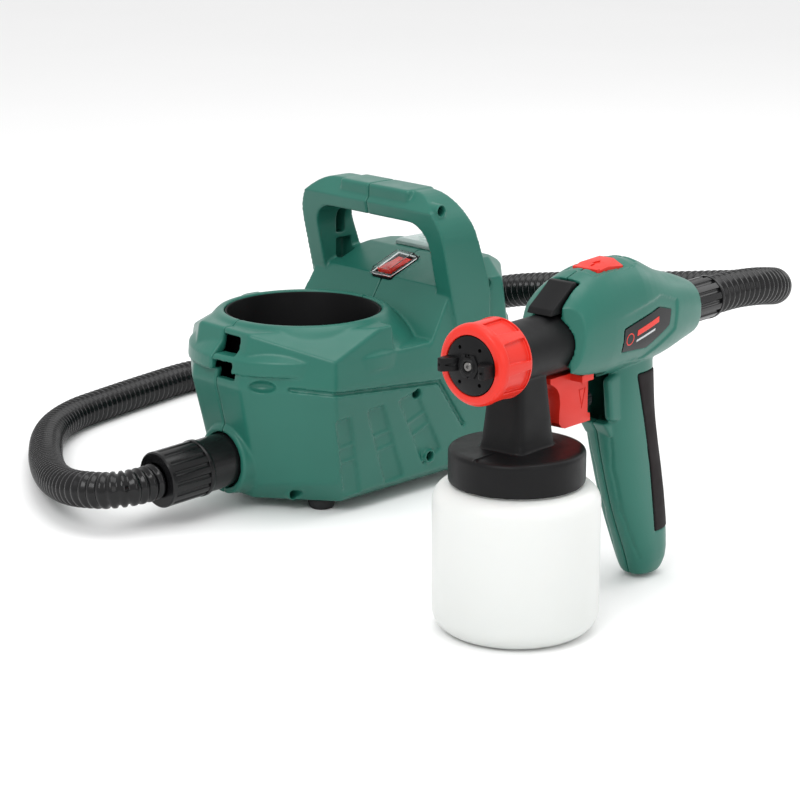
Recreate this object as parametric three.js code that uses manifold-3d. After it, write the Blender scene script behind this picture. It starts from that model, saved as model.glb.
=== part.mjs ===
// Paint sprayer: a turbine base unit, its air hose, and a spray gun that stands on its paint cup.
// Millimetres, +Z up. The base unit's nose points to -X, and the gun stands in front of its near side.

import * as THREE from 'three';
import { ConvexGeometry } from 'three/addons/geometries/ConvexGeometry.js';
import { mergeVertices } from 'three/addons/utils/BufferGeometryUtils.js';
import Module from 'manifold-3d';

const wasm = await Module();
wasm.setup();

// ---------------------------------------------------------------- driving dimensions

const GAP = 0.3;            // clearance between neighbouring pieces
const AROUND = 20;          // sides of a round piece
const FEW = 10;             // sides of a small round piece

const UNIT = {
  front: -84,               // nose, at the parting groove
  rear: 168,                // tail
  half: 85,                 // half width at the parting groove
  bottom: 8,                // underside of the shell
  toe: 16,                  // top of the rounded bottom edge
  groove: 98,               // parting groove at the nose
  shoulder: 119,            // line where the sides meet the deck
  deck: 137,                // nose deck
  roof: 168,                // top of the motor housing
  noseHalf: 28,             // half width of the nose face
  noseRun: 42,              // length of the nose's chamfers
  tuck: 10,                 // lean of the sides between groove and toe
  toeIn: 14,                // run of the rounded bottom edge
  footRake: 20,             // how far the nose's foot leans back
  headRake: 9,              // how far the nose's head leans back
  tailHalf: 50,             // half width of the tail
  wallFoot: 57,             // foot of the wall behind the cup holder
  wallTop: 80,              // top of that wall
  wallHeight: 154,
  roofFront: 116,           // front edge of the flat roof
  roofHalf: 58,             // half width of the roof
  wall: 2.4,
};

const HANDLE = {
  top: 226,
  thick: 23,                // height of the grip bar
  post: 17,                 // width of each post
  corner: 36,               // outer corner radius
  front: 64,                // front of the bar
  bar: 32,                  // depth of the bar, front to back
  postRear: 118,            // rear of the posts at the roof
};

const CUP = {
  radius: 53.5,
  wall: 1.8,
  shoulder: 97,             // top of the cup's shoulder
  corner: 16,               // rounding of the foot and the shoulder
  neck: 40.5,
  foot: 36,                 // radius of the ring that the cup stands on
};

const LID = { radius: 43.5, top: 121, bottom: 98, ceiling: 118.5 };
const HOLDER = { clear: 3.2, wall: 1.8, floor: 64, lip: 7, coneRun: 27 };

const OUTLET = { height: 38, boss: 27, depth: 13 };
const DUCT = { radius: 18, wall: 2 };
const FAN = { x: 105, radius: 46, bottom: 20, height: 36, wall: 2, wheel: 40, clear: 4 };
const MOTOR = { radius: 33, top: 130, wall: 2, armature: 22, shaft: 4 };
const BEARING = { radius: 9, height: 5.5 };
const FOOT = { radius: 10, inset: 40 };
const SCREW = { head: 3.1, headHeight: 3, shank: 1.8, bite: 9, post: 4.6, seat: 5 };
const SWITCH = { length: 31, width: 22, depth: 18, rocker: 14, boot: 5, x: 93, slope: 21 };
const FILTER = { x: 138, length: 34, width: 60, thick: 5, pad: 8 };

const GUN = {
  x: -94.5,                 // cup axis in the base unit's frame
  y: -319,
  turn: 6.3,                // degrees that the gun is turned from the base unit
  axis: 181,                // height of the barrel's axis
  wall: 3,
  barrel: 19.5,
  barrelFront: -15,
  shellFront: 29,
  shellRear: 172,
  tailRadius: 19.5,
  crest: 104,               // highest place of the shell
  crestHeight: 227,
  crestHalf: 28.5,
  underside: 152,
  handleFoot: 4,            // clearance under the handle
  handleHalf: 16.5,
};

const CAP = { ring: 26, ringFront: -47, ringRear: -17, thread: 21, lip: 19, face: -48.5, horn: 8.5 };
const NEEDLE = { radius: 1.3, tip: -48, rear: 97, pin: 58, pinRadius: 2.2, pinHalf: 16.5 };
const TAIL = { radius: 11, rear: 105, springFrom: 69.4, springTo: 101, bore: 6.2 };
const TRIGGER = { pivotX: 50, pivotZ: 200, half: 7.5, armIn: 13.4, armOut: 17, pin: 2 };
const WHEEL = { front: 63.4, thick: 5.5, radius: 7.3, height: 138 };
const PAD = { thick: 2.2, top: 149, bottom: 35 };
const BADGE = { thick: 1.1 };
const BUTTON = { front: 67, rear: 90, frontHalf: 9.75, rearHalf: 13.2, travel: 2.5 };
const INLET = { radius: 14, bore: 11.6, stub: 11.3, stubRear: 186 };
const CUFF = {
  gunRadius: 14.5,
  gunRear: 207,
  unitRadius: 20,           // spigot in the base unit's outlet
  unitFront: -139.5,
  sleeve: 20.8,             // fluted sleeve outside the outlet
  length: 36,
  droop: 3,                 // degrees that the cuff leans down
};
const HOSE_RADIUS = 13.5;

// ---------------------------------------------------------------- finishes

const GREEN = { color: 0x2d7364, roughness: 0.42, metalness: 0 };
const BLACK = { color: 0x1b1b1c, roughness: 0.5, metalness: 0 };
const RED = { color: 0xe8442f, roughness: 0.4, metalness: 0 };
const MILKY = { color: 0xeef2f0, roughness: 0.35, metalness: 0 };
const RUBBER = { color: 0x262021, roughness: 0.85, metalness: 0 };
const STEEL = { color: 0xb8bbbe, roughness: 0.3, metalness: 1 };
const COPPER = { color: 0xa4633c, roughness: 0.4, metalness: 0.8 };
const BRASS = { color: 0xc19a4d, roughness: 0.3, metalness: 1 };
const FOAM = { color: 0x4a4d50, roughness: 0.95, metalness: 0 };
const CLEAR = { color: 0xdfe6e6, roughness: 0.1, metalness: 0 };
const GREY = { color: 0x8e9496, roughness: 0.5, metalness: 0 };

// ---------------------------------------------------------------- solids

function solid(geometry) {
  const bare = new THREE.BufferGeometry();
  bare.setAttribute('position', geometry.attributes.position);
  bare.setIndex(geometry.index);
  const merged = mergeVertices(bare, 1e-4);
  const index = merged.index.array;
  const kept = [];
  for (let i = 0; i < index.length; i += 3) {
    const [a, b, c] = [index[i], index[i + 1], index[i + 2]];
    if (a !== b && b !== c && c !== a) kept.push(a, b, c);
  }
  return new wasm.Manifold(new wasm.Mesh({
    numProp: 3,
    vertProperties: new Float32Array(merged.attributes.position.array),
    triVerts: new Uint32Array(kept),
  }));
}

const X = new THREE.Vector3(1, 0, 0);
const Y = new THREE.Vector3(0, 1, 0);
const Z = new THREE.Vector3(0, 0, 1);
const MINUS_Y = new THREE.Vector3(0, -1, 0);

function join(...solids) {
  return solids.reduce((sum, next) => sum.add(next));
}

function box(x0, x1, y0, y1, z0, z1) {
  const geometry = new THREE.BoxGeometry(x1 - x0, y1 - y0, z1 - z0);
  return solid(geometry.translate((x0 + x1) / 2, (y0 + y1) / 2, (z0 + z1) / 2));
}

// A round bar, or a cone where endRadius differs, from a point along an axis.
function rod(axis, [x, y, z], length, radius, sides = AROUND, endRadius = radius) {
  const geometry = new THREE.CylinderGeometry(endRadius, radius, length, sides).rotateX(Math.PI / 2);
  geometry.translate(0, 0, length / 2);
  if (axis === 'x') geometry.rotateY(Math.PI / 2);
  if (axis === 'y') geometry.rotateX(-Math.PI / 2);
  return solid(geometry.translate(x, y, z));
}

function tube(axis, from, length, outer, inner, sides = AROUND) {
  const hole = [...from];
  hole['xyz'.indexOf(axis)] -= 1;
  return rod(axis, from, length, outer, sides).subtract(rod(axis, hole, length + 2, inner, sides));
}

// A body of revolution about Z: its profile goes out along the foot, up the outside and back.
function turned(profile, sides = AROUND) {
  const points = profile.map(([r, z]) => new THREE.Vector2(r, z));
  return solid(new THREE.LatheGeometry(points, sides).rotateX(Math.PI / 2));
}

function hull(points) {
  return solid(new ConvexGeometry(points.map(([x, y, z]) => new THREE.Vector3(x, y, z))));
}

// Points given for the far side, with the same points on the near side.
function mirrored(points) {
  return points.flatMap(([x, half, z]) => [[x, half, z], [x, -half, z]]);
}

// The same hull points moved in by a wall, so that a hull's inside follows its outside.
function shrunk(points, by, [cx, cy, cz]) {
  return points.map(([x, y, z]) => [
    x - Math.sign(x - cx) * by,
    y - Math.sign(y - cy) * by,
    z - Math.sign(z - cz) * by,
  ]);
}

// A flat outline drawn in the plane of two axes and extruded along the third.
function plate(plane, shape, from, to) {
  const settings = { depth: to - from, bevelEnabled: false, curveSegments: 6 };
  const geometry = new THREE.ExtrudeGeometry(shape, settings);
  if (plane === 'yz') {
    geometry.applyMatrix4(new THREE.Matrix4().makeBasis(Y, Z, X)).translate(from, 0, 0);
  } else if (plane === 'xz') {
    geometry.applyMatrix4(new THREE.Matrix4().makeBasis(X, Z, MINUS_Y)).translate(0, to, 0);
  } else {
    geometry.translate(0, 0, from);
  }
  return solid(geometry);
}

function polygon(points) {
  return new THREE.Shape(points.map(([u, v]) => new THREE.Vector2(u, v)));
}

// A polygon drawn anticlockwise, with every edge moved in by a distance, or out where it is negative.
function offset(points, by) {
  const n = points.length;
  return points.map(([u, v], i) => {
    const [pu, pv] = points[(i + n - 1) % n];
    const [nu, nv] = points[(i + 1) % n];
    const a = new THREE.Vector2(u - pu, v - pv).normalize();
    const b = new THREE.Vector2(nu - u, nv - v).normalize();
    const na = new THREE.Vector2(-a.y, a.x);
    const nb = new THREE.Vector2(-b.y, b.x);
    const reach = by / (1 + na.dot(nb));
    return [u + (na.x + nb.x) * reach, v + (na.y + nb.y) * reach];
  });
}

function ellipse(plane, at, [cu, cv], ru, rv, sides = AROUND) {
  return Array.from({ length: sides }, (_, i) => {
    const angle = ((i + 0.5) / sides) * 2 * Math.PI;
    const u = cu + ru * Math.cos(angle);
    const v = cv + rv * Math.sin(angle);
    return plane === 'yz' ? [at, u, v] : [u, v, at];
  });
}

const FAR_HALF = box(-1000, 1000, GAP / 2, 1000, -1000, 1000);
const NEAR_HALF = box(-1000, 1000, -1000, -GAP / 2, -1000, 1000);

const object = new THREE.Group();
const unitGroup = new THREE.Group();
const gunGroup = new THREE.Group();
gunGroup.position.set(GUN.x, GUN.y, 0);
gunGroup.rotation.z = THREE.MathUtils.degToRad(GUN.turn);
object.add(unitGroup, gunGroup);

function add(group, name, shape, finish) {
  const made = shape.getMesh();
  const geometry = new THREE.BufferGeometry();
  const step = made.numProp;
  const positions = new Float32Array((made.vertProperties.length / step) * 3);
  for (let i = 0; i < positions.length / 3; i++) {
    for (let k = 0; k < 3; k++) positions[3 * i + k] = made.vertProperties[step * i + k];
  }
  geometry.setAttribute('position', new THREE.BufferAttribute(positions, 3));
  geometry.setIndex(new THREE.BufferAttribute(made.triVerts, 1));
  const mesh = new THREE.Mesh(geometry, new THREE.MeshStandardMaterial(finish));
  mesh.name = name;
  group.add(mesh);
  return mesh;
}

// ---------------------------------------------------------------- screws

// A screw's boss on the near piece, counterbored from its head side, along Y to the joint face.
function nearBoss({ x, z, joint }, reach) {
  return rod('y', [x, -reach, z], reach + joint - GAP / 2, SCREW.post, FEW);
}

function nearBore({ x, z, joint }, reach) {
  const seat = joint - SCREW.seat;
  return join(
    rod('y', [x, -reach, z], reach + seat, SCREW.head + 0.5, FEW),
    rod('y', [x, seat - 1, z], SCREW.seat + 2, SCREW.shank + GAP, FEW),
  );
}

function farBoss({ x, z, joint }, length) {
  return rod('y', [x, joint + GAP / 2, z], length, SCREW.post, FEW);
}

function farPilot({ x, z, joint }) {
  return rod('y', [x, joint - 1, z], SCREW.bite + 2, SCREW.shank + GAP, FEW);
}

function screw({ x, z, joint }) {
  const seat = joint - SCREW.seat - GAP;
  return join(
    rod('y', [x, seat - SCREW.headHeight, z], SCREW.headHeight, SCREW.head, FEW),
    rod('y', [x, seat - 0.5, z], SCREW.seat + SCREW.bite, SCREW.shank, FEW),
  );
}

// ---------------------------------------------------------------- base unit

const HOLDER_BORE = CUP.radius + HOLDER.clear;
const LINER = HOLDER_BORE + HOLDER.wall;
const FAN_LUG = 27;
const LINER_LUG = 48;
const FAN_SCREW = { x: 61.4, z: 28.5, joint: -FAN_LUG };
const LINER_SCREW = { x: 43.8, z: 81.5, joint: -LINER_LUG };

const UNIT_SCREWS = [
  { x: 119.8, z: 152.7, joint: 0 },
  { x: -45, z: UNIT.bottom + 6, joint: 0 },
  { x: HANDLE.front + 7, z: HANDLE.top - HANDLE.thick / 2, joint: 0 },
  FAN_SCREW,
  LINER_SCREW,
];

const lowerBody = mirrored([
  [UNIT.front + UNIT.footRake + 4, UNIT.noseHalf - 4, UNIT.bottom],
  [UNIT.front + UNIT.noseRun + 4, UNIT.half - UNIT.tuck - UNIT.toeIn - 8, UNIT.bottom],
  [UNIT.front + 74, UNIT.half - UNIT.tuck - UNIT.toeIn, UNIT.bottom],
  [UNIT.rear - 74, UNIT.half - UNIT.tuck - UNIT.toeIn, UNIT.bottom],
  [UNIT.rear - 18, UNIT.noseHalf, UNIT.bottom],
  [UNIT.front + UNIT.footRake - 4, UNIT.noseHalf, UNIT.toe],
  [UNIT.front + 34, UNIT.half - UNIT.tuck - 10, UNIT.toe],
  [UNIT.front + 60, UNIT.half - UNIT.tuck, UNIT.toe],
  [UNIT.rear - 68, UNIT.half - UNIT.tuck, UNIT.toe],
  [UNIT.rear - 14, UNIT.tailHalf - 8, UNIT.toe],
  [UNIT.front, UNIT.noseHalf, UNIT.groove],
  [UNIT.front + UNIT.noseRun, UNIT.half, UNIT.groove],
  [UNIT.rear - 30, UNIT.half - 4, UNIT.groove],
  [UNIT.rear, UNIT.tailHalf, UNIT.groove],
  [UNIT.front + 3, UNIT.noseHalf, UNIT.shoulder],
  [UNIT.front + UNIT.noseRun, UNIT.half - 2, UNIT.shoulder],
  [UNIT.wallFoot, UNIT.half - 4, UNIT.shoulder - 2],
  [UNIT.rear - 30, UNIT.half - 6, UNIT.shoulder],
]);

function collar(inset) {
  const top = UNIT.deck + 3.5 - inset;
  const lip = LINER + HOLDER.lip - inset * 0.5;
  const coneLong = LINER + HOLDER.coneRun - inset;
  return hull([
    ...ellipse('xy', top - 2.5, [0, 0], lip + 1, lip + 1),
    ...ellipse('xy', top, [0, 0], lip - 2, lip - 2),
    ...ellipse('xy', UNIT.shoulder - 2, [0, 0], coneLong, UNIT.half - 2 - inset),
    ...mirrored([
      [UNIT.front + UNIT.headRake + inset, UNIT.noseHalf - inset, UNIT.deck - inset],
      [UNIT.front + 3 + inset, UNIT.noseHalf - inset, UNIT.shoulder - 2],
      [UNIT.front + UNIT.noseRun + inset, UNIT.half - 2 - inset, UNIT.shoulder - 2],
    ]),
  ]);
}

const rearBody = mirrored([
  [UNIT.wallFoot, UNIT.half - 5, UNIT.shoulder - 3],
  [UNIT.wallTop, UNIT.half - 5, UNIT.wallHeight - 2],
  [UNIT.wallTop + 1, UNIT.half - 8, UNIT.wallHeight],
  [UNIT.roofFront, UNIT.half - 8, UNIT.roof - 7],
  [UNIT.roofFront, UNIT.roofHalf, UNIT.roof],
  [UNIT.rear - 20, UNIT.roofHalf - 10, UNIT.roof - 2],
  [UNIT.rear - 8, UNIT.tailHalf - 8, UNIT.roof - 10],
  [UNIT.rear - 20, UNIT.half - 13, UNIT.roof - 12],
  [UNIT.rear - 2, UNIT.tailHalf, UNIT.groove],
  [UNIT.rear - 32, UNIT.half - 6, UNIT.groove],
  [UNIT.wallFoot + 6, UNIT.half - 4, UNIT.groove],
]);

// The carrying handle: an arch seen from the front, trimmed to its profile seen from the side.
const handleSide = [
  [UNIT.wallFoot + 4, UNIT.shoulder - 8],
  [HANDLE.postRear, UNIT.shoulder - 8],
  [HANDLE.postRear, UNIT.roof - 8],
  [HANDLE.front + HANDLE.bar + 4, HANDLE.top - HANDLE.thick],
  [HANDLE.front + HANDLE.bar - 4, HANDLE.top],
  [HANDLE.front + 7, HANDLE.top],
  [HANDLE.front, HANDLE.top - 7],
  [HANDLE.front + 1, HANDLE.top - HANDLE.thick],
  [UNIT.wallTop - 1, UNIT.shoulder + 22],
];

function arch(half, foot, top, corner) {
  const shape = new THREE.Shape();
  shape.moveTo(-half, foot);
  shape.lineTo(half, foot);
  shape.absarc(half - corner, top - corner, corner, 0, Math.PI / 2, false);
  shape.absarc(corner - half, top - corner, corner, Math.PI / 2, Math.PI, false);
  return shape;
}

function handle(inset) {
  const half = UNIT.half - 5;
  const outer = arch(half - inset, UNIT.shoulder, HANDLE.top - inset, HANDLE.corner - inset);
  const side = plate('xz', polygon(offset(handleSide, inset)), -half - 5, half + 5);
  const inner = arch(
    half - HANDLE.post + inset,
    UNIT.wallHeight - 8,
    HANDLE.top - HANDLE.thick + inset,
    HANDLE.corner - HANDLE.post + inset,
  );
  const opening = plate('yz', inner, UNIT.wallFoot - 20, HANDLE.postRear + 20);
  return plate('yz', outer, UNIT.wallFoot, HANDLE.postRear + 5).intersect(side).subtract(opening);
}

const unitCentre = [(UNIT.front + UNIT.rear) / 2, 0, UNIT.groove - 10];

function unitBody(inset) {
  const lower = hull(shrunk(lowerBody, inset, unitCentre));
  const rear = hull(shrunk(rearBody, inset, [FAN.x, 0, UNIT.groove + 15]));
  return join(lower, collar(inset), rear, handle(inset));
}

const switchTilt = THREE.MathUtils.degToRad(SWITCH.slope);
const switchHeight = UNIT.wallHeight + (SWITCH.x - UNIT.wallTop) * Math.tan(switchTilt);
const switchPlace = new THREE.Matrix4()
  .makeRotationY(-switchTilt)
  .setPosition(SWITCH.x, 0, switchHeight);

const outletFront = UNIT.front + 9;

function unitCuts() {
  const slot = (low, high) => box(UNIT.front - 5, UNIT.front + 14, -20, -1, low, high);
  const switchHole = new THREE.BoxGeometry(SWITCH.length + 2 * GAP, SWITCH.width + 2 * GAP, 20);
  const filterHalf = FILTER.width / 2 - 6;
  return join(
    rod('z', [0, 0, HOLDER.floor], 100, LINER + GAP, 32),
    rod('x', [outletFront - 10, 0, OUTLET.height], 30, CUFF.unitRadius + 0.8),
    slot(102, 116),
    slot(120, 133),
    solid(switchHole.applyMatrix4(switchPlace)),
    box(FILTER.x - 12, FILTER.x + 12, -filterHalf, filterHalf, UNIT.roof - 12, UNIT.roof + 10),
    rod('x', [UNIT.rear - 12, 0, 62], 30, 7 + GAP, FEW),
  );
}

function unitShells() {
  const outer = join(
    unitBody(0),
    rod('x', [outletFront, 0, OUTLET.height], OUTLET.depth, OUTLET.boss),
  );
  const reach = UNIT.half + 10;
  const through = UNIT_SCREWS.filter(({ joint }) => joint === 0);
  const nearPosts = join(...UNIT_SCREWS.map((at) => nearBoss(at, reach))).intersect(outer);
  const farPosts = join(...through.map((at) => farBoss(at, reach))).intersect(outer);
  const nearBores = join(...UNIT_SCREWS.map((at) => nearBore(at, reach)));
  const farPilots = join(...through.map(farPilot));
  const outletWall = tube('x', [outletFront, 0, OUTLET.height], OUTLET.depth, OUTLET.boss, CUFF.unitRadius);
  const shell = outer.subtract(unitBody(UNIT.wall)).add(outletWall);
  const cuts = unitCuts();
  const near = shell.intersect(NEAR_HALF).add(nearPosts).subtract(cuts).subtract(nearBores);
  const far = shell.intersect(FAR_HALF).add(farPosts).subtract(cuts).subtract(farPilots);
  add(unitGroup, 'unit_shell_near', near, GREEN);
  add(unitGroup, 'unit_shell_far', far, GREEN);
}

function cupHolder() {
  const top = UNIT.deck + 2.5;
  const liner = turned([
    [0, HOLDER.floor - HOLDER.wall],
    [LINER - 6, HOLDER.floor - HOLDER.wall],
    [LINER, HOLDER.floor + 5],
    [LINER, top],
    [HOLDER_BORE, top],
    [HOLDER_BORE, HOLDER.floor + 6],
    [HOLDER_BORE - 5.5, HOLDER.floor],
    [0, HOLDER.floor],
  ], 32);
  const core = rod('z', [0, 0, HOLDER.floor - 5], 100, LINER - 1, 32);
  const lug = farBoss(LINER_SCREW, LINER_LUG).subtract(core);
  add(unitGroup, 'cup_holder', liner.add(lug).subtract(farPilot(LINER_SCREW)), BLACK);
}

function airPath() {
  const fanFront = FAN.x - FAN.radius;
  const ductFront = outletFront + OUTLET.depth;
  const length = fanFront + 1 - ductFront;
  const bore = DUCT.radius - DUCT.wall;
  add(unitGroup, 'outlet_duct', tube('x', [ductFront, 0, OUTLET.height], length, DUCT.radius, bore), GREY);

  const top = FAN.bottom + FAN.height;
  const housing = turned([
    [BEARING.radius, FAN.bottom],
    [FAN.radius - 4, FAN.bottom],
    [FAN.radius, FAN.bottom + 4],
    [FAN.radius, top],
    [FAN.radius - FAN.wall, top],
    [FAN.radius - FAN.wall, FAN.bottom + 4 + FAN.wall],
    [FAN.radius - 5, FAN.bottom + FAN.wall],
    [BEARING.radius, FAN.bottom + FAN.wall],
    [BEARING.radius, FAN.bottom],
  ]).translate([FAN.x, 0, 0]);
  const port = rod('x', [fanFront - 8, 0, OUTLET.height], 20, DUCT.radius + GAP);
  const core = rod('z', [FAN.x, 0, 0], 100, FAN.radius - FAN.wall);
  const boss = farBoss(FAN_SCREW, FAN_LUG).intersect(NEAR_HALF);
  const lug = boss.subtract(core).subtract(farPilot(FAN_SCREW));
  add(unitGroup, 'fan_housing', housing.add(lug).subtract(port), GREY);

  const lid = top + GAP;
  const inlets = Array.from({ length: 6 }, (_, i) => {
    const angle = (i * Math.PI) / 3;
    return rod('z', [FAN.x + 20 * Math.cos(angle), 20 * Math.sin(angle), lid - 1], 9, 7, FEW);
  });
  const cover = join(
    rod('z', [FAN.x, 0, lid], 2.5, FAN.radius),
    rod('z', [FAN.x, 0, lid], BEARING.height, BEARING.radius + 2.5),
  ).subtract(rod('z', [FAN.x, 0, lid - 1], 20, BEARING.radius + GAP)).subtract(join(...inlets));
  add(unitGroup, 'fan_cover', cover, GREY);

  const base = FAN.bottom + FAN.wall + FAN.clear;
  const blades = Array.from({ length: 9 }, (_, i) => {
    const [from, to] = [8, FAN.wheel - 1];
    const blade = new THREE.BoxGeometry(to - from, 1.6, FAN.height - 15);
    blade.translate((from + to) / 2, 0, base + 1 + (FAN.height - 15) / 2);
    return solid(blade.rotateZ((i * 2 * Math.PI) / 9).translate(FAN.x, 0, 0));
  });
  const wheel = join(
    rod('z', [FAN.x, 0, base], 2, FAN.wheel),
    rod('z', [FAN.x, 0, base], FAN.height - 12, 12),
    ...blades,
  ).subtract(rod('z', [FAN.x, 0, 0], 100, MOTOR.shaft + GAP, FEW));
  add(unitGroup, 'impeller', wheel, GREY);

  const seat = UNIT.bottom + UNIT.wall + GAP;
  add(unitGroup, 'motor_mount', tube('z', [FAN.x, 0, seat], FAN.bottom - GAP - seat, 38, 28), RUBBER);
}

function motor() {
  const base = FAN.bottom + FAN.height + GAP + 2.5 + GAP;
  const pocket = MOTOR.top - 3 - BEARING.height;
  const windows = [0, 1, 2].map((i) => {
    const window = new THREE.BoxGeometry(100, 16, 12);
    return solid(window.rotateZ((i * Math.PI) / 3 + Math.PI / 6).translate(FAN.x, 0, base + 10));
  });
  const brushZ = pocket - 12;
  const can = tube('z', [FAN.x, 0, base], MOTOR.top - base, MOTOR.radius, MOTOR.radius - MOTOR.wall)
    .add(rod('z', [FAN.x, 0, pocket - 2], MOTOR.top - pocket + 2, MOTOR.radius))
    .subtract(rod('z', [FAN.x, 0, pocket - 3], BEARING.height + 3, BEARING.radius + GAP, FEW))
    .subtract(rod('z', [FAN.x, 0, pocket], 20, MOTOR.shaft + GAP, FEW))
    .subtract(join(...windows))
    .subtract(box(FAN.x - 3 - GAP, FAN.x + 3 + GAP, -50, 50, brushZ - GAP, brushZ + 6 + GAP));
  add(unitGroup, 'motor_can', can, STEEL);

  const bearing = (z) => tube('z', [FAN.x, 0, z], BEARING.height, BEARING.radius, MOTOR.shaft + GAP, FEW);
  add(unitGroup, 'bearing_lower', bearing(FAN.bottom + FAN.height + GAP), STEEL);
  add(unitGroup, 'bearing_upper', bearing(pocket - GAP), STEEL);
  const foot = FAN.bottom + FAN.wall + 2;
  add(unitGroup, 'motor_shaft', rod('z', [FAN.x, 0, foot], MOTOR.top - 1 - foot, MOTOR.shaft, FEW), STEEL);
  const windings = join(
    rod('z', [FAN.x, 0, base + 14], brushZ - 4 - (base + 14), MOTOR.armature),
    rod('z', [FAN.x, 0, brushZ - 5], 14, BEARING.radius),
  ).subtract(rod('z', [FAN.x, 0, 0], 200, MOTOR.shaft + GAP, FEW));
  add(unitGroup, 'armature', windings, COPPER);
  for (const [name, side] of [['brush_far', 1], ['brush_near', -1]]) {
    const [inner, outer] = [BEARING.radius + GAP, MOTOR.radius + 1];
    const ends = side > 0 ? [inner, outer] : [-outer, -inner];
    add(unitGroup, name, box(FAN.x - 3, FAN.x + 3, ...ends, brushZ, brushZ + 6), FOAM);
  }
}

function switchGroup() {
  const group = new THREE.Group();
  group.applyMatrix4(switchPlace);
  unitGroup.add(group);
  const [length, width] = [SWITCH.length, SWITCH.width];
  const [long, wide] = [length / 2, width / 2];
  const rocker = SWITCH.rocker / 2;
  const well = 6;
  const housing = box(-long, long, -wide, wide, -SWITCH.depth, 0.4)
    .subtract(box(-long + 2.5, long - 2.5, -rocker - 1, rocker + 1, -well, 5));
  add(group, 'switch_housing', housing, BLACK);

  const side = [
    [-long + 4, -2],
    [0, -well + 1],
    [long - 4, -2],
    [long - 4, 0.2],
    [0, 1.6],
    [-long + 4, 2.6],
  ];
  add(group, 'switch_rocker', plate('xz', polygon(side), -rocker, rocker), RED);

  const low = 0.4 + GAP;
  const boot = join(
    hull(mirrored([
      [-long, wide, low], [long, wide, low],
      [-long + 2, wide - 2, low + SWITCH.boot], [long - 2, wide - 2, low + SWITCH.boot],
    ])),
  ).subtract(hull(mirrored([
    [-long + 1.2, wide - 1.2, low - 1], [long - 1.2, wide - 1.2, low - 1],
    [-long + 3, wide - 3, low + SWITCH.boot - 1.2], [long - 3, wide - 3, low + SWITCH.boot - 1.2],
  ])));
  add(group, 'switch_boot', boot, CLEAR);
}

function unitTrim() {
  const half = FILTER.width / 2;
  const long = FILTER.length / 2;
  const low = UNIT.roof + GAP;
  const cover = hull(mirrored([
    [FILTER.x - long, half, low],
    [FILTER.x + long - 6, half - 8, low],
    [FILTER.x - long + 3, half - 4, low + FILTER.thick],
    [FILTER.x + long - 12, half - 12, low + FILTER.thick - 1],
  ])).subtract(hull(mirrored([
    [FILTER.x - long + 2, half - 2, low - 1],
    [FILTER.x + long - 8, half - 10, low - 1],
    [FILTER.x - long + 4.5, half - 5.5, low + FILTER.thick - 1.6],
    [FILTER.x + long - 13.5, half - 13.5, low + FILTER.thick - 2.6],
  ])));
  add(unitGroup, 'filter_cover', cover, CLEAR);
  const padHalf = half - 6 - GAP;
  const pad = box(FILTER.x - 12 + GAP, FILTER.x + 12 - GAP, -padHalf, padHalf, low - FILTER.pad, low);
  add(unitGroup, 'filter_pad', pad, FOAM);

  const gland = join(
    rod('x', [UNIT.rear - 8, 0, 62], 12, 7, FEW),
    rod('x', [UNIT.rear + 3, 0, 62], 12, 6.6, FEW, 5),
  ).subtract(rod('x', [UNIT.rear + 2, 0, 62], 20, 3.5, FEW));
  add(unitGroup, 'cord_gland', gland, RUBBER);

  const ends = [['front', UNIT.front + 62], ['rear', UNIT.rear - 38]];
  for (const [end, x] of ends) {
    for (const [side, sign] of [['near', -1], ['far', 1]]) {
      const y = sign * (UNIT.half - FOOT.inset);
      add(unitGroup, `foot_${end}_${side}`, rod('z', [x, y, 0], UNIT.bottom - GAP, FOOT.radius, 20), RUBBER);
    }
  }
  UNIT_SCREWS.forEach((at, i) => add(unitGroup, `unit_screw_${i + 1}`, screw(at), STEEL));
}

// ---------------------------------------------------------------- spray gun

const gunSections = [
  // place along the barrel, lowest, highest, half width
  [GUN.shellFront, GUN.axis - 23, GUN.axis + 26, GUN.barrel + 5],
  [GUN.shellFront + 13, GUN.underside + 2, GUN.crestHeight - 9, GUN.crestHalf - 2],
  [GUN.crest - 18, GUN.underside, GUN.crestHeight, GUN.crestHalf],
  [GUN.crest, GUN.underside, GUN.crestHeight - 0.5, GUN.crestHalf],
  [GUN.crest + 28, GUN.underside + 2, GUN.crestHeight - 13, GUN.crestHalf - 2.5],
  [GUN.shellRear, GUN.axis - GUN.tailRadius, GUN.axis + GUN.tailRadius, GUN.tailRadius],
];

function gunBarrelShape(inset) {
  return hull(gunSections.flatMap(([x, low, high, half], i) => {
    const ends = i === 0 ? inset : i === gunSections.length - 1 ? -inset : 0;
    const centre = [0, (low + high) / 2];
    return ellipse('yz', x + ends, centre, half - inset, (high - low) / 2 - inset);
  }));
}

const handleSections = [
  // height, front, rear, half width
  [GUN.underside + 8, 80, 131, GUN.handleHalf + 1],
  [112, 83, 137, GUN.handleHalf + 0.5],
  [60, 99, 149, GUN.handleHalf],
  [20, 117, 154, GUN.handleHalf - 1],
  [GUN.handleFoot, 123, 151, GUN.handleHalf - 5],
];

function gunHandleShape(inset) {
  const sections = handleSections.map(([z, front, rear, half], i) => {
    const up = i === handleSections.length - 1 ? inset : 0;
    return ellipse('xy', z + up, [(front + rear) / 2, 0], (rear - front) / 2 - inset, half - inset);
  });
  return join(
    hull([...sections[0], ...sections[1]]),
    hull([...sections[1], ...sections[2]]),
    hull([...sections[2], ...sections[3], ...sections[4]]),
  );
}

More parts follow.
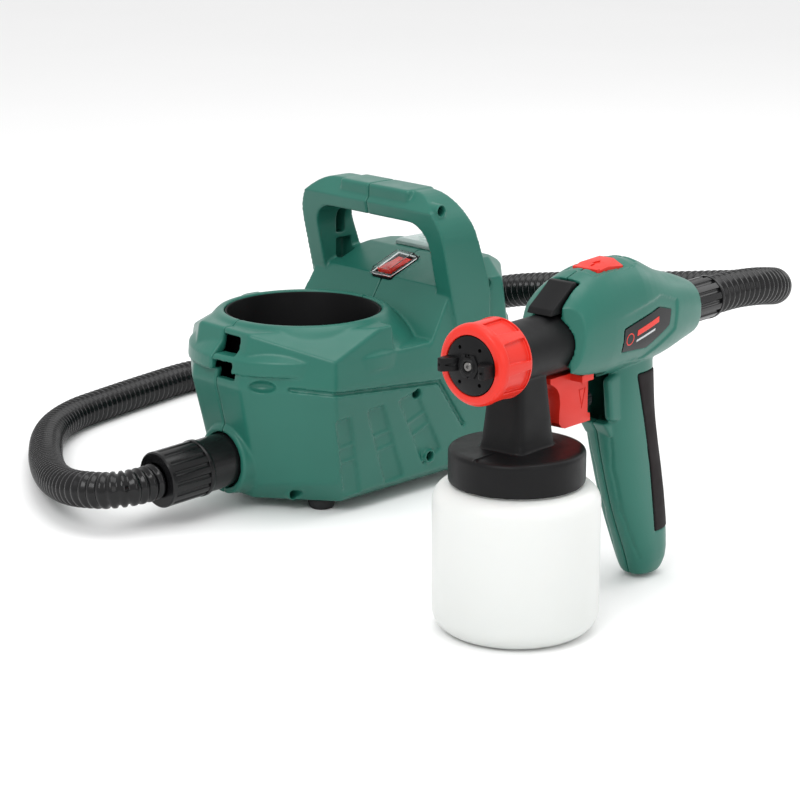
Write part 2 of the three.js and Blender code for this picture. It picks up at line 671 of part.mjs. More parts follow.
const padOutline = [
  [130.5, PAD.bottom],
  [175, PAD.bottom],
  [175, PAD.top],
  [102, PAD.top],
  [112.5, 118],
  [122, 84],
  [127, 56],
];
const badgeOutline = [
  [74, 171],
  [102, 169],
  [126, 180],
  [128, 190],
  [113, 194],
  [74, 186],
];
const buttonOutline = [
  [BUTTON.front, -BUTTON.frontHalf],
  [BUTTON.rear, -BUTTON.rearHalf],
  [BUTTON.rear, BUTTON.rearHalf],
  [BUTTON.front, BUTTON.frontHalf],
];
const tabOutline = [
  [20, GUN.axis + GUN.barrel + 1],
  [31, GUN.axis + GUN.barrel + 1],
  [48, 214.5],
  [45, 219],
  [38, 215.5],
  [22, GUN.axis + GUN.barrel + 4.5],
];
const TAB_HALF = 10;
const GUN_SCREWS = [
  { x: 146, z: 196, joint: 0 },
  { x: 106, z: 110, joint: 0 },
  { x: 132, z: 30, joint: 0 },
];

function gunShells() {
  const skin = PAD.thick + GAP;
  const grip = plate('xz', polygon(padOutline), -40, 40);
  const gripSkin = gunHandleShape(-1).subtract(gunHandleShape(skin)).intersect(grip);
  const outer = join(gunBarrelShape(0), gunHandleShape(0));
  const hollow = join(gunBarrelShape(GUN.wall), gunHandleShape(skin + GUN.wall - 1));
  const badgeSkin = gunBarrelShape(-1)
    .subtract(gunBarrelShape(BADGE.thick + GAP))
    .intersect(plate('xz', polygon(offset(badgeOutline, -GAP)), -60, 60));
  const pinHalf = TRIGGER.armOut + 6;
  const pivotBoss = rod('y', [TRIGGER.pivotX, -40, TRIGGER.pivotZ], 80, 5, FEW)
    .subtract(box(0, 100, -TRIGGER.armOut - GAP, TRIGGER.armOut + GAP, 150, 250))
    .intersect(outer);
  const cuts = join(
    rod('x', [GUN.shellFront - 5, 0, GUN.axis], 15, GUN.barrel + GAP + 0.1),
    rod('x', [GUN.shellRear - 10, 0, GUN.axis], 20, INLET.radius + GAP),
    rod('y', [TRIGGER.pivotX, -pinHalf, TRIGGER.pivotZ], 2 * pinHalf, TRIGGER.pin + GAP, FEW),
    plate('xz', polygon(offset(tabOutline, -GAP)), -TAB_HALF - GAP, TAB_HALF + GAP),
    plate('xy', polygon(offset(buttonOutline, -GAP)), 205, 240),
    box(GUN.shellFront - 5, TRIGGER.pivotX + 18, -TRIGGER.armOut - 1, TRIGGER.armOut + 1, 140, GUN.axis - 14),
    box(GUN.shellFront - 5, 92, -WHEEL.radius - 1.6, WHEEL.radius + 1.6, 120, GUN.axis - 13),
    badgeSkin,
    gripSkin,
  );
  const reach = 40;
  const shell = outer.subtract(hollow).add(pivotBoss);
  // The gun's screws go in from the far side, so their shapes are mirrored.
  const each = (shape) => join(...GUN_SCREWS.map(shape)).mirror(Y.toArray());
  const farPosts = each((at) => nearBoss(at, reach)).intersect(outer);
  const nearPosts = each((at) => farBoss(at, reach)).intersect(outer);
  const bores = each((at) => nearBore(at, reach));
  const pilots = each(farPilot);
  const near = shell.intersect(NEAR_HALF).add(nearPosts).subtract(cuts).subtract(pilots);
  const far = shell.intersect(FAR_HALF).add(farPosts).subtract(cuts).subtract(bores);
  add(gunGroup, 'gun_shell_near', near, GREEN);
  add(gunGroup, 'gun_shell_far', far, GREEN);
  GUN_SCREWS.forEach((at, i) => {
    add(gunGroup, `gun_screw_${i + 1}`, screw(at).mirror(Y.toArray()), STEEL);
  });

  const gripInner = polygon(offset(padOutline, GAP));
  const sleeve = gunHandleShape(0).subtract(gunHandleShape(PAD.thick));
  add(gunGroup, 'grip_pad', sleeve.intersect(plate('xz', gripInner, -40, 40)), RUBBER);
  const badge = gunBarrelShape(0).subtract(gunBarrelShape(BADGE.thick));
  add(gunGroup, 'badge_near', badge.intersect(plate('xz', polygon(badgeOutline), -60, 0)), BLACK);
  add(gunGroup, 'badge_far', badge.intersect(plate('xz', polygon(badgeOutline), 0, 60)), BLACK);
}

function barrel() {
  const at = (x, length, ...rest) => rod('x', [x, 0, GUN.axis], length, ...rest);
  const capSeat = CAP.ringFront + 11;
  const neck = hull([
    ...mirrored([[-14, 13, GUN.axis - 12], [14, 13, GUN.axis - 12]]),
    ...mirrored([[-19, 17, LID.top - 1], [19, 17, LID.top - 1]]),
  ]);
  const lid = turned([
    [0, LID.ceiling],
    [CUP.neck + GAP, LID.ceiling],
    [CUP.neck + GAP, LID.bottom],
    [LID.radius, LID.bottom],
    [LID.radius, LID.top - 2],
    [LID.radius - 3, LID.top],
    [0, LID.top],
  ], 28);
  const body = join(
    at(capSeat, GUN.barrelFront - capSeat, CAP.thread),
    at(GUN.barrelFront - 1, GUN.shellFront + 16 - GUN.barrelFront, GUN.barrel),
    at(GUN.shellFront + 10, TAIL.rear - GUN.shellFront - 10, TAIL.radius),
    neck,
    lid,
  );
  const slotZ = NEEDLE.pinRadius + 1;
  const cuts = join(
    at(capSeat - 1, -14 - capSeat + GAP + 1, 7 + GAP, FEW),
    at(-16, 140, NEEDLE.radius + GAP, FEW),
    at(NEEDLE.pin + 4, TAIL.springTo + GAP - NEEDLE.pin - 4, TAIL.bore, FEW),
    at(18, 5 + 2 * GAP, 5 + GAP, FEW),
    rod('z', [0, 0, LID.ceiling - 1], GUN.axis - LID.ceiling + 1, 2.8, FEW),
    rod('z', [0, 0, LID.ceiling - 1], 8, 4 + GAP, FEW),
    box(NEEDLE.pin - slotZ, NEEDLE.pin + 8, -30, 30, GUN.axis - slotZ, GUN.axis + slotZ),
  );
  add(gunGroup, 'barrel_body', body.subtract(cuts), BLACK);
  add(gunGroup, 'lock_tab', plate('xz', polygon(tabOutline), -TAB_HALF, TAB_HALF), BLACK);
}

function spout() {
  const at = (x, length, ...rest) => rod('x', [x, 0, GUN.axis], length, ...rest);
  const seat = CAP.ringFront + 2.5;
  const nozzle = join(
    at(CAP.face - 1, 6, 3, FEW),
    at(CAP.face + 4.5, 6, 3, FEW, 7),
    at(CAP.face + 10, -14 - CAP.face - 10, 7, FEW),
  ).subtract(at(CAP.face - 5, 80, NEEDLE.radius + GAP, FEW));
  add(gunGroup, 'fluid_nozzle', nozzle, BRASS);

  const horn = (sign) => hull([
    ...ellipse('yz', CAP.face - CAP.horn, [sign * 15.2, GUN.axis], 1.6, 3, 8),
    ...ellipse('yz', CAP.face + 1, [sign * 14.2, GUN.axis], 3.2, 4.4, 8),
  ]);
  const cap = join(
    at(CAP.face, seat + GAP - CAP.face + 1, CAP.lip - GAP),
    at(seat + GAP, 5, CAP.thread),
    at(seat + GAP + 4, 3, CAP.thread),
    horn(1),
    horn(-1),
  ).subtract(at(CAP.face + 3, 10, 15)).subtract(at(CAP.face - 5, 20, 3 + GAP, FEW));
  add(gunGroup, 'air_cap', cap, BLACK);

  const bore = CAP.thread + GAP;
  const ring = turned([
    [CAP.lip, CAP.ringFront],
    [CAP.ring - 3, CAP.ringFront],
    [CAP.ring, CAP.ringFront + 4],
    [CAP.ring, CAP.ringRear - 2],
    [CAP.ring - 2, CAP.ringRear],
    [bore, CAP.ringRear],
    [bore, seat],
    [CAP.lip, seat],
    [CAP.lip, CAP.ringFront],
  ]).rotate([0, 90, 0]).translate([0, 0, GUN.axis]);
  add(gunGroup, 'cap_ring', ring, RED);

  const needle = join(
    at(NEEDLE.tip, NEEDLE.rear - NEEDLE.tip, NEEDLE.radius, FEW),
    at(TAIL.springFrom - GAP - 3, 3, 5, FEW),
    rod('y', [NEEDLE.pin, -NEEDLE.pinHalf, GUN.axis], 2 * NEEDLE.pinHalf, NEEDLE.pinRadius, FEW),
  );
  add(gunGroup, 'needle', needle, STEEL);
  const packing = at(18 + GAP, 5, 5, FEW).subtract(at(10, 30, NEEDLE.radius + GAP, FEW));
  add(gunGroup, 'needle_packing', packing, FOAM);
  const coil = at(TAIL.springFrom, TAIL.springTo - TAIL.springFrom, TAIL.bore - GAP, FEW)
    .subtract(at(TAIL.springFrom - 5, 60, 4, FEW));
  add(gunGroup, 'needle_spring', coil, STEEL);
}

function trigger() {
  const { pivotX, pivotZ, half, armIn, armOut, pin } = TRIGGER;
  const top = GUN.axis - GUN.barrel - 1.5;
  const blade = plate('xz', polygon([
    [39, 125],
    [66, 124.5],
    [65.5, 129.5],
    [63, 130.2],
    [63, top - 3],
    [58, top],
    [24, top],
    [24, top - 3.5],
    [31, 152],
    [33.5, 142],
    [32, 132],
  ]), -half, half);
  const armRear = NEEDLE.pin - NEEDLE.pinRadius - 0.4;
  const arm = [
    [pivotX - 4, top - 4],
    [armRear, top - 4],
    [armRear, pivotZ],
    [pivotX + 3, pivotZ + 4],
    [pivotX - 4, pivotZ + 3],
  ];
  const arms = plate('xz', polygon(arm), -armOut, armOut).subtract(box(0, 100, -armIn, armIn, top, 300));
  const shape = join(blade, arms)
    .subtract(rod('y', [pivotX, -50, pivotZ], 100, pin + GAP, FEW))
    .subtract(rod('x', [WHEEL.front - 12, 0, WHEEL.height], 20, 2 + GAP, FEW));
  add(gunGroup, 'trigger', shape, RED);
  const pinHalf = armOut + 5;
  add(gunGroup, 'trigger_pin', rod('y', [pivotX, -pinHalf, pivotZ], 2 * pinHalf, pin, FEW), STEEL);
  const wheel = join(
    rod('x', [WHEEL.front, 0, WHEEL.height], WHEEL.thick, WHEEL.radius, 20),
    rod('x', [WHEEL.front - 10, 0, WHEEL.height], 11, 2, FEW),
  );
  add(gunGroup, 'flow_wheel', wheel, BLACK);
}

function lockButton() {
  const { front, rear, travel } = BUTTON;
  const low = GUN.crestHeight - 14;
  const side = [
    [front - 5, low],
    [rear + 5, low],
    [rear + 5, GUN.crestHeight - 0.4],
    [front - 5, GUN.crestHeight - 7.6],
  ];
  const body = plate('xz', polygon(side), -30, 30).intersect(plate('xy', polygon(buttonOutline), 200, 240));
  const stemFoot = GUN.axis + TAIL.radius + travel + 0.5;
  const stem = rod('z', [(front + rear) / 2, 0, stemFoot], low - stemFoot + 1, 3, FEW);
  add(gunGroup, 'lock_button', body.add(stem), RED);
}

function cupPieces() {
  const { radius, wall, shoulder, corner, neck, foot } = CUP;
  const neckTop = LID.ceiling - 3 * GAP - 1.5;
  const arc = (cr, cz, r, from, to) => Array.from({ length: 4 }, (_, i) => {
    const angle = THREE.MathUtils.degToRad(from + ((to - from) * i) / 3);
    return [cr + r * Math.cos(angle), cz + r * Math.sin(angle)];
  });
  const inner = corner - wall;
  const shoulderRadius = radius - neck - 1;
  const cup = turned([
    [0, 2.5],
    [foot - 3, 2.5],
    [foot - 1, 0],
    ...arc(radius - corner, corner, corner, -90, 0),
    ...arc(radius - shoulderRadius, shoulder - shoulderRadius, shoulderRadius, 0, 90),
    [neck, shoulder],
    [neck, neckTop],
    [neck - wall, neckTop],
    [neck - wall, shoulder - wall],
    ...arc(radius - shoulderRadius, shoulder - shoulderRadius, shoulderRadius - wall, 90, 0),
    ...arc(radius - corner, corner, inner, 0, -90),
    [foot - 2, wall + 2.5],
    [0, wall + 2.5],
  ], 28);
  add(gunGroup, 'cup', cup, MILKY);
  const gasketLow = neckTop + GAP;
  add(gunGroup, 'lid_gasket', tube('z', [0, 0, gasketLow], 1.5, neck, neck - 4), RUBBER);
  add(gunGroup, 'pickup_tube', tube('z', [0, 0, 8], LID.ceiling + 6.5 - 8, 4, 2.6, FEW), MILKY);
  add(gunGroup, 'check_valve', rod('z', [24, 0, LID.ceiling - GAP - 8], 8, 6, FEW), GREY);
}

// ---------------------------------------------------------------- air hose

function inlet() {
  const at = (x, length, radius) => rod('x', [x, 0, GUN.axis], length, radius);
  const spigot = join(
    at(GUN.shellRear - 18, 18 + 0.5, INLET.radius),
    at(GUN.shellRear - 12, 3, INLET.radius + 1.5),
    at(GUN.shellRear, INLET.stubRear - GUN.shellRear, INLET.stub),
  ).subtract(at(0, 300, INLET.stub - 2));
  add(gunGroup, 'hose_inlet', spigot, BLACK);
}

// A sleeve along X with grooves round its outside.
function ribbed([x, y, z], length, radius, bore, ribs) {
  const depth = 0.9;
  const grooves = Array.from({ length: ribs }, (_, i) => {
    const angle = (i / ribs) * 2 * Math.PI;
    const out = radius + depth;
    const from = [x - 1, y + out * Math.cos(angle), z + out * Math.sin(angle)];
    return rod('x', from, length + 2, depth * 2, 8);
  });
  return tube('x', [x, y, z], length, radius, bore).subtract(join(...grooves));
}

function cuffs() {
  const { gunRadius, gunRear, unitRadius, unitFront, sleeve, droop } = CUFF;
  const gunFront = GUN.shellRear + 0.5 + GAP;
  const gunCuff = ribbed([gunFront, 0, GUN.axis], gunRear - gunFront, gunRadius, INLET.bore, 10);
  add(gunGroup, 'gun_cuff', gunCuff, BLACK);

  const group = new THREE.Group();
  group.position.set(outletFront, 0, OUTLET.height);
  group.rotation.y = THREE.MathUtils.degToRad(-droop);
  unitGroup.add(group);
  const bore = HOSE_RADIUS + 1;
  const front = unitFront - outletFront;
  const spigotFront = front + CUFF.length - 0.5;
  const grip = ribbed([front, 0, 0], CUFF.length, sleeve, bore, 14);
  const spigot = tube('x', [spigotFront, 0, 0], OUTLET.depth - 2 - spigotFront, unitRadius, bore);
  add(group, 'unit_cuff', grip.add(spigot), BLACK);
}

// The route of the hose from the base unit's cuff to the gun's cuff.
const HOSE_ROUTE = [
  [-140, 0, 34.3],
  [-152, 0, 33.6],
  [-165, 3, 33],
  [-175, 13, 31.5],
  [-180, 29, 29.5],
  [-179, 47, 26.5],
  [-174, 67, 23.5],
  [-165, 91, 20.5],
  [-152, 117, 17.5],
  [-137, 143, 15],
  [-121, 168, 14],
  [-95, 203, 13.8],
  [-68, 229, 13.8],
  [-36, 248, 13.8],
  [0, 259, 13.8],
  [56, 273, 13.8],
  [108, 283, 13.8],
  [146, 276, 14.5],
  [180, 248, 20],
  [205, 200, 37],
  [218, 140, 66],
  [224, 70, 97],
  [225, 10, 117],
  [228, -45, 128],
  [236, -100, 136],
  [243, -150, 143],
  [246, -192, 150],
  [241, -228, 157],
  [226, -258, 165],
  [203, -279, 172],
  [172, -289, 178],
  [143, -292.8, 180.7],
  [111.8, -296.2, 181],
];

function hose() {
  const curve = new THREE.CatmullRomCurve3(HOSE_ROUTE.map(([x, y, z]) => new THREE.Vector3(x, y, z)));
  const section = new THREE.Shape();
  const sides = 10;
  for (let i = 0; i < sides; i++) {
    const angle = (i / sides) * 2 * Math.PI;
    const point = [HOSE_RADIUS * Math.cos(angle), HOSE_RADIUS * Math.sin(angle)];
    if (i === 0) section.moveTo(...point);
    else section.lineTo(...point);
  }
  const geometry = new THREE.ExtrudeGeometry(section, { steps: 42, extrudePath: curve, bevelEnabled: false });
  add(unitGroup, 'hose_tube', solid(geometry), BLACK);
}

// ---------------------------------------------------------------- assembly

unitShells();
cupHolder();
airPath();
motor();
switchGroup();
unitTrim();
gunShells();
barrel();
spout();
trigger();
lockButton();
cupPieces();
inlet();
cuffs();
hose();

// The origin is the middle of the base of the unit and the gun together, without the hose.
const extent = new THREE.Box3();
object.updateMatrixWorld(true);
object.traverse((node) => {
  if (node.isMesh && node.name !== 'hose_tube') extent.expandByObject(node, true);
});
const middle = extent.getCenter(new THREE.Vector3());
object.position.set(-middle.x, -middle.y, -extent.min.z);

export default object;
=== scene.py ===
# Paint sprayer: a turbine base unit, its air hose, and a spray gun that stands on its paint cup.
# Pieces are modelled in millimetres in the unit's or the gun's own axes, then settled into the frame.

import math

import bpy
from mathutils import Matrix, Vector


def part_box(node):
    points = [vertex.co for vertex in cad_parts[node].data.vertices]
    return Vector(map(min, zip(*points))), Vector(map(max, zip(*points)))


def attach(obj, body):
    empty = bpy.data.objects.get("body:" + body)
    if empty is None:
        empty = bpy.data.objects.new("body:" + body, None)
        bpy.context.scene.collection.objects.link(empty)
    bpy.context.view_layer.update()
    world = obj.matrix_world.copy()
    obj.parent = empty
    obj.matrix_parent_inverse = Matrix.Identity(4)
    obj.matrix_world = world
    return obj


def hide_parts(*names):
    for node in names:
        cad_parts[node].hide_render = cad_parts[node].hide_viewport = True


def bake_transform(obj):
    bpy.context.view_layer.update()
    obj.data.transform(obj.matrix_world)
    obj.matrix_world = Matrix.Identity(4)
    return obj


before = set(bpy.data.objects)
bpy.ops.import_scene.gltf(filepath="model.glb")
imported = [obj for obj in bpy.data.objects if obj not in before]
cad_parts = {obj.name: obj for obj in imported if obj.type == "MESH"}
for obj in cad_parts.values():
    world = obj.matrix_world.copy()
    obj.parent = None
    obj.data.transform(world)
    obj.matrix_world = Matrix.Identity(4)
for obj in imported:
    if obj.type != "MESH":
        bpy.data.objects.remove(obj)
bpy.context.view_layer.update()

GAP = 0.3                   # clearance between neighbouring pieces
TURN = math.radians(6.3)    # how far the gun is turned from the unit

bpy.context.view_layer.update()


def middle(node):
    low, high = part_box(node)
    return (low + high) / 2


HOLDER = middle("cup_holder")
CUP = middle("cup")
UNIT = Matrix.Translation((HOLDER.x, HOLDER.y, 0)) @ Matrix.Scale(0.001, 4)
GUN = Matrix.Translation((CUP.x, CUP.y, 0)) @ Matrix.Rotation(TURN, 4, "Z") @ Matrix.Scale(0.001, 4)
AXIS = 181                  # height of the gun's barrel


# ---- camera and light

def studio():
    place = UNIT @ Vector((-1125.6, -1335.4, 543))
    facing = Vector((0.652, 0.7115, -0.2622))
    bpy.ops.object.camera_add(location=place, rotation=facing.to_track_quat("-Z", "Y").to_euler())
    camera = bpy.context.object
    camera.data.lens = 108
    camera.data.sensor_width = 36
    camera.data.clip_start = 0.05
    bpy.context.scene.camera = camera

    bpy.ops.mesh.primitive_plane_add(size=14, location=(1.5, 1.5, 0))
    floor = bpy.context.object
    floor.name = "studio_floor"
    floor.data.materials.append(paper())

    lamps = [
        ("window_lamp", (-1.5, -0.6, 1.7), (0.0, 0.0, 0.1), 1.0, 17),
        ("top_lamp", (0.2, -0.1, 1.9), (0.0, 0.0, 0.0), 1.3, 14),
        ("front_lamp", (-0.3, -2.0, 0.9), (0.0, 0.0, 0.12), 1.1, 5),
        ("right_lamp", (1.7, -0.3, 1.1), (0.0, 0.0, 0.1), 1.0, 5),
    ]
    for name, at, towards, size, watts in lamps:
        aim = Vector(towards) - Vector(at)
        turn = aim.to_track_quat("-Z", "Y").to_euler()
        bpy.ops.object.light_add(type="AREA", location=at, rotation=turn)
        lamp = bpy.context.object
        lamp.name = name
        lamp.data.size = size
        lamp.data.energy = watts
    bpy.context.scene.view_settings.view_transform = "Standard"
    world = bpy.data.worlds.new("studio")
    bpy.context.scene.world = world
    world.use_nodes = True
    backdrop = world.node_tree.nodes["Background"]
    backdrop.inputs["Color"].default_value = (1.0, 1.0, 1.0, 1)
    backdrop.inputs["Strength"].default_value = 0.9


# ---- finishes

def finish(name, colour, rough=0.5, metal=0.0, **sockets):
    """A new finish; further sockets of its shader are given by name, with _ for a space."""
    made = bpy.data.materials.new(name)
    made.use_nodes = True
    shader = made.node_tree.nodes["Principled BSDF"]
    shader.inputs["Base Color"].default_value = (*colour, 1)
    shader.inputs["Roughness"].default_value = rough
    shader.inputs["Metallic"].default_value = metal
    for key, value in sockets.items():
        shader.inputs[key.replace("_", " ")].default_value = value
    return made


def node(made, kind, **values):
    new = made.node_tree.nodes.new(kind)
    for key, value in values.items():
        if hasattr(new, key):
            setattr(new, key, value)
        else:
            new.inputs[key.replace("_", " ")].default_value = value
    return new


def wire(made, source, target):
    made.node_tree.links.new(source, target)


def feed(made, source, socket):
    """Joins a source to a socket of the finish's shader."""
    wire(made, source, made.node_tree.nodes["Principled BSDF"].inputs[socket])


def raised(made, source, strength, distance):
    """Lets a texture raise and lower the surface."""
    bump = node(made, "ShaderNodeBump", Strength=strength, Distance=distance)
    wire(made, source, bump.inputs["Height"])
    feed(made, bump.outputs["Normal"], "Normal")


def places(made):
    return node(made, "ShaderNodeTexCoord").outputs["Object"]


def noise(made, scale, detail, source=None):
    new = node(made, "ShaderNodeTexNoise", Scale=scale, Detail=detail)
    wire(made, source or places(made), new.inputs["Vector"])
    return new.outputs["Fac"]


def ramp(made, source, stops):
    new = node(made, "ShaderNodeValToRGB")
    wire(made, source, new.inputs["Fac"])
    elements = new.color_ramp.elements
    while len(elements) < len(stops):
        elements.new(0.5)
    for element, (at, colour) in zip(elements, stops):
        element.position = at
        element.color = (*colour, 1)
    return new.outputs["Color"]


def grey(level):
    return (level, level, level)


def mottle_and_highlight_edges(made, colour, spread, scale=14, edge=0.0):
    """Broad, faint changes of colour, and paler convex edges: a painted highlight where the edges catch the
    light.
    """
    dark = tuple(c * (1 - spread) for c in colour)
    light = tuple(min(1, c * (1 + spread)) for c in colour)
    tone = ramp(made, noise(made, scale, 2), [(0.35, dark), (0.65, light)])
    if edge:
        # Painted highlight: convex edges are mixed towards a lighter copy of the colour, as if they caught
        # the light.
        point = node(made, "ShaderNodeNewGeometry").outputs["Pointiness"]
        edge_highlight = ramp(made, point, [(0.52, grey(0)), (0.62, grey(edge))])
        mix = node(made, "ShaderNodeMix", data_type="RGBA")
        wire(made, edge_highlight, mix.inputs["Factor"])
        wire(made, tone, mix.inputs["A"])
        mix.inputs["B"].default_value = (*[min(1, c * 1.7 + 0.03) for c in colour], 1)
        tone = mix.outputs["Result"]
    feed(made, tone, "Base Color")


def grain(made, scale, height, rough_low, rough_high):
    """The fine texture of the mould, in the surface and in its gloss."""
    raised(made, noise(made, scale, 4), 0.6, height)
    haze = ramp(made, noise(made, scale * 0.06, 4), [(0.3, grey(rough_low)), (0.7, grey(rough_high))])
    feed(made, haze, "Roughness")


# edge is the strength of the painted highlight on convex edges.
def moulded(name, colour, scale, height, rough_low, rough_high, spread=0.05, edge=0.0, **sockets):
    made = finish(name, colour, **sockets)
    mottle_and_highlight_edges(made, colour, spread, edge=edge)
    grain(made, scale, height, rough_low, rough_high)
    return made


def paper():
    made = finish("floor_paper", (0.93, 0.93, 0.93), 0.85)
    mottle_and_highlight_edges(made, (0.93, 0.93, 0.93), 0.004, scale=2)
    return made


def corrugated():
    """Glossy black plastic, faintly uneven in colour and gloss."""
    made = finish("hose_black", (0.004, 0.004, 0.0045), 0.2, Specular_IOR_Level=0.32)
    grain(made, 700, 0.00001, 0.16, 0.28)
    mottle_and_highlight_edges(made, (0.004, 0.004, 0.0045), 0.3, scale=40)
    return made


def milky():
    """Cloudy polyethylene that lets some light through, with painted shade darkening it towards the floor."""
    made = finish("cup_milky", (0.7, 0.72, 0.7), 0.34, Subsurface_Weight=0.3, Subsurface_Scale=0.012,
                  Subsurface_Radius=(0.6, 0.56, 0.5),
                  Transmission_Weight=0.06, IOR=1.5)
    grain(made, 500, 0.00004, 0.3, 0.42)
    height = node(made, "ShaderNodeSeparateXYZ")
    wire(made, places(made), height.inputs[0])
    # Painted shade: the cup's colour darkens towards its bottom, near the floor.
    tone = ramp(made, height.outputs["Z"], [
        (0.0, (0.66, 0.68, 0.655)), (0.05, (0.71, 0.725, 0.7)), (0.11, (0.75, 0.76, 0.735)),
    ])
    feed(made, tone, "Base Color")
    return made


def brushed(name, colour, scale=600):
    """Machined metal with fine turning marks."""
    made = finish(name, colour, 0.3, 1.0)
    mapped = node(made, "ShaderNodeMapping", Scale=(1, 1, 12))
    wire(made, places(made), mapped.inputs["Vector"])
    marks = noise(made, scale, 6, mapped.outputs["Vector"])
    haze = ramp(made, marks, [(0.3, grey(0.2)), (0.7, grey(0.42))])
    feed(made, haze, "Roughness")
    raised(made, marks, 0.3, 0.00005)
    mottle_and_highlight_edges(made, colour, 0.06, scale=60)
    return made


def wound():
    """Lacquered copper wire, laid in close turns, with painted shade in the grooves between them."""
    made = finish("copper_wire", (0.55, 0.24, 0.1), 0.35, 0.9)
    turns = node(made, "ShaderNodeTexWave", wave_type="BANDS", bands_direction="Z", Scale=260,
                 Distortion=0.6)
    wire(made, places(made), turns.inputs["Vector"])
    # Painted shade: dark bands between the turns, where the grooves lie in shadow.
    tone = ramp(made, turns.outputs["Fac"], [(0.2, (0.2, 0.07, 0.03)), (0.7, (0.62, 0.28, 0.12))])
    feed(made, tone, "Base Color")
    raised(made, turns.outputs["Fac"], 0.5, 0.0002)
    return made


def foam():
    """Open-cell foam, with painted shade in its pores."""
    made = finish("filter_foam", (0.07, 0.075, 0.08), 0.95)
    cells = node(made, "ShaderNodeTexVoronoi", Scale=700)
    wire(made, places(made), cells.inputs["Vector"])
    # Painted shade: dark at the middle of each cell, where the pores lie in shadow.
    tone = ramp(made, cells.outputs["Distance"], [(0.1, grey(0.01)), (0.6, grey(0.1))])
    feed(made, tone, "Base Color")
    raised(made, cells.outputs["Distance"], 0.8, 0.0004)
    return made


# Where a second number follows the spread, it is the strength of the painted highlight on convex edges.
GREEN = moulded("green_shell", (0.016, 0.125, 0.093), 1500, 0.00003, 0.3, 0.38, 0.04, 0.1,
                Specular_IOR_Level=0.34)
BLACK = moulded("black_satin", (0.0045, 0.0045, 0.005), 1300, 0.00006, 0.38, 0.5, 0.1, 0.04,
                Specular_IOR_Level=0.17)
LINER = moulded("holder_black", (0.003, 0.003, 0.0033), 1100, 0.00006, 0.42, 0.55, 0.1, 0.03,
                Specular_IOR_Level=0.1)
GLOSS = moulded("cuff_black", (0.004, 0.004, 0.0045), 1300, 0.00003, 0.18, 0.28, 0.1, 0.05,
                Specular_IOR_Level=0.3)
RED = moulded("red_satin", (0.66, 0.022, 0.011), 1500, 0.00004, 0.3, 0.42, 0.04, 0.06,
              Specular_IOR_Level=0.32)
RUBBER = moulded("grip_brown", (0.0115, 0.0085, 0.009), 900, 0.0001, 0.62, 0.8, 0.12, 0.04,
                 Specular_IOR_Level=0.16)
FOOT_RUBBER = moulded("foot_rubber", (0.018, 0.018, 0.019), 800, 0.0001, 0.7, 0.85, 0.15, 0.05,
                      Specular_IOR_Level=0.25)
GREY = moulded("grey_nylon", (0.3, 0.32, 0.33), 900, 0.00005, 0.45, 0.6, 0.06)
PRINT = moulded("badge_gloss", (0.006, 0.006, 0.007), 700, 0.00001, 0.12, 0.2, 0.05, Specular_IOR_Level=0.2)
BADGE_GREY = moulded("badge_silver", (0.5, 0.51, 0.52), 1200, 0.00002, 0.25, 0.35, 0.05)
PALE = moulded("cover_pale", (0.5, 0.63, 0.6), 700, 0.00003, 0.12, 0.2, 0.03, Transmission_Weight=0.3)
CLEAR = moulded("boot_clear", (0.97, 0.98, 0.98), 500, 0.00001, 0.02, 0.05, 0.01,
                Transmission_Weight=1.0, IOR=1.18)
NOZZLE_METAL = brushed("nozzle_dark", (0.16, 0.155, 0.15))
STEEL = brushed("screw_steel", (0.56, 0.57, 0.58))
HOSE = corrugated()
MILKY = milky()
COPPER = wound()
FOAM = foam()


# ---- ways of making a piece

def only(*pieces):
    """Selects these pieces and nothing else."""
    if bpy.context.object and bpy.context.object.mode != "OBJECT":
        bpy.ops.object.mode_set(mode="OBJECT")
    bpy.ops.object.select_all(action="DESELECT")
    for piece in pieces:
        piece.select_set(True)
    bpy.context.view_layer.objects.active = pieces[0]


def edit(piece):
    only(piece)
    bpy.ops.object.mode_set(mode="EDIT")
    bpy.ops.mesh.select_all(action="SELECT")


def done():
    bpy.ops.object.mode_set(mode="OBJECT")
    return bpy.context.object


def fixed():
    """The active piece, with its place and size worked into its mesh."""
    bpy.ops.object.transform_apply(location=True, rotation=True, scale=True)
    return bpy.context.object


def block(low, high):
    """A block between two corners."""
    size = [b - a for a, b in zip(low, high)]
    centre = [(a + b) / 2 for a, b in zip(low, high)]
    bpy.ops.mesh.primitive_cube_add(size=1, location=centre, scale=size)
    return fixed()


AROUND_AXIS = {"x": (0, math.pi / 2, 0), "y": (-math.pi / 2, 0, 0), "z": (0, 0, 0)}


def rod(axis, start, length, radius, end=None, sides=64):
    """A round bar or cone from a point along an axis."""
    centre = Vector(start)
    centre["xyz".index(axis)] += length / 2
    bpy.ops.mesh.primitive_cone_add(vertices=sides, radius1=radius, radius2=radius if end is None else end,
                                    depth=length, location=centre, rotation=AROUND_AXIS[axis])
    return fixed()


def ball(centre, size, segments=32):
    bpy.ops.mesh.primitive_uv_sphere_add(segments=segments, ring_count=segments // 2, location=centre,
                                         scale=size)
    return fixed()


def shave(piece, *planes):
    """Cuts a piece with planes, each a point and the direction of the side that goes."""
    edit(piece)
    for point, way in planes:
        bpy.ops.mesh.select_all(action="SELECT")
        bpy.ops.mesh.bisect(plane_co=point, plane_no=Vector(way).normalized(), use_fill=True,
                            clear_outer=True)
    return done()


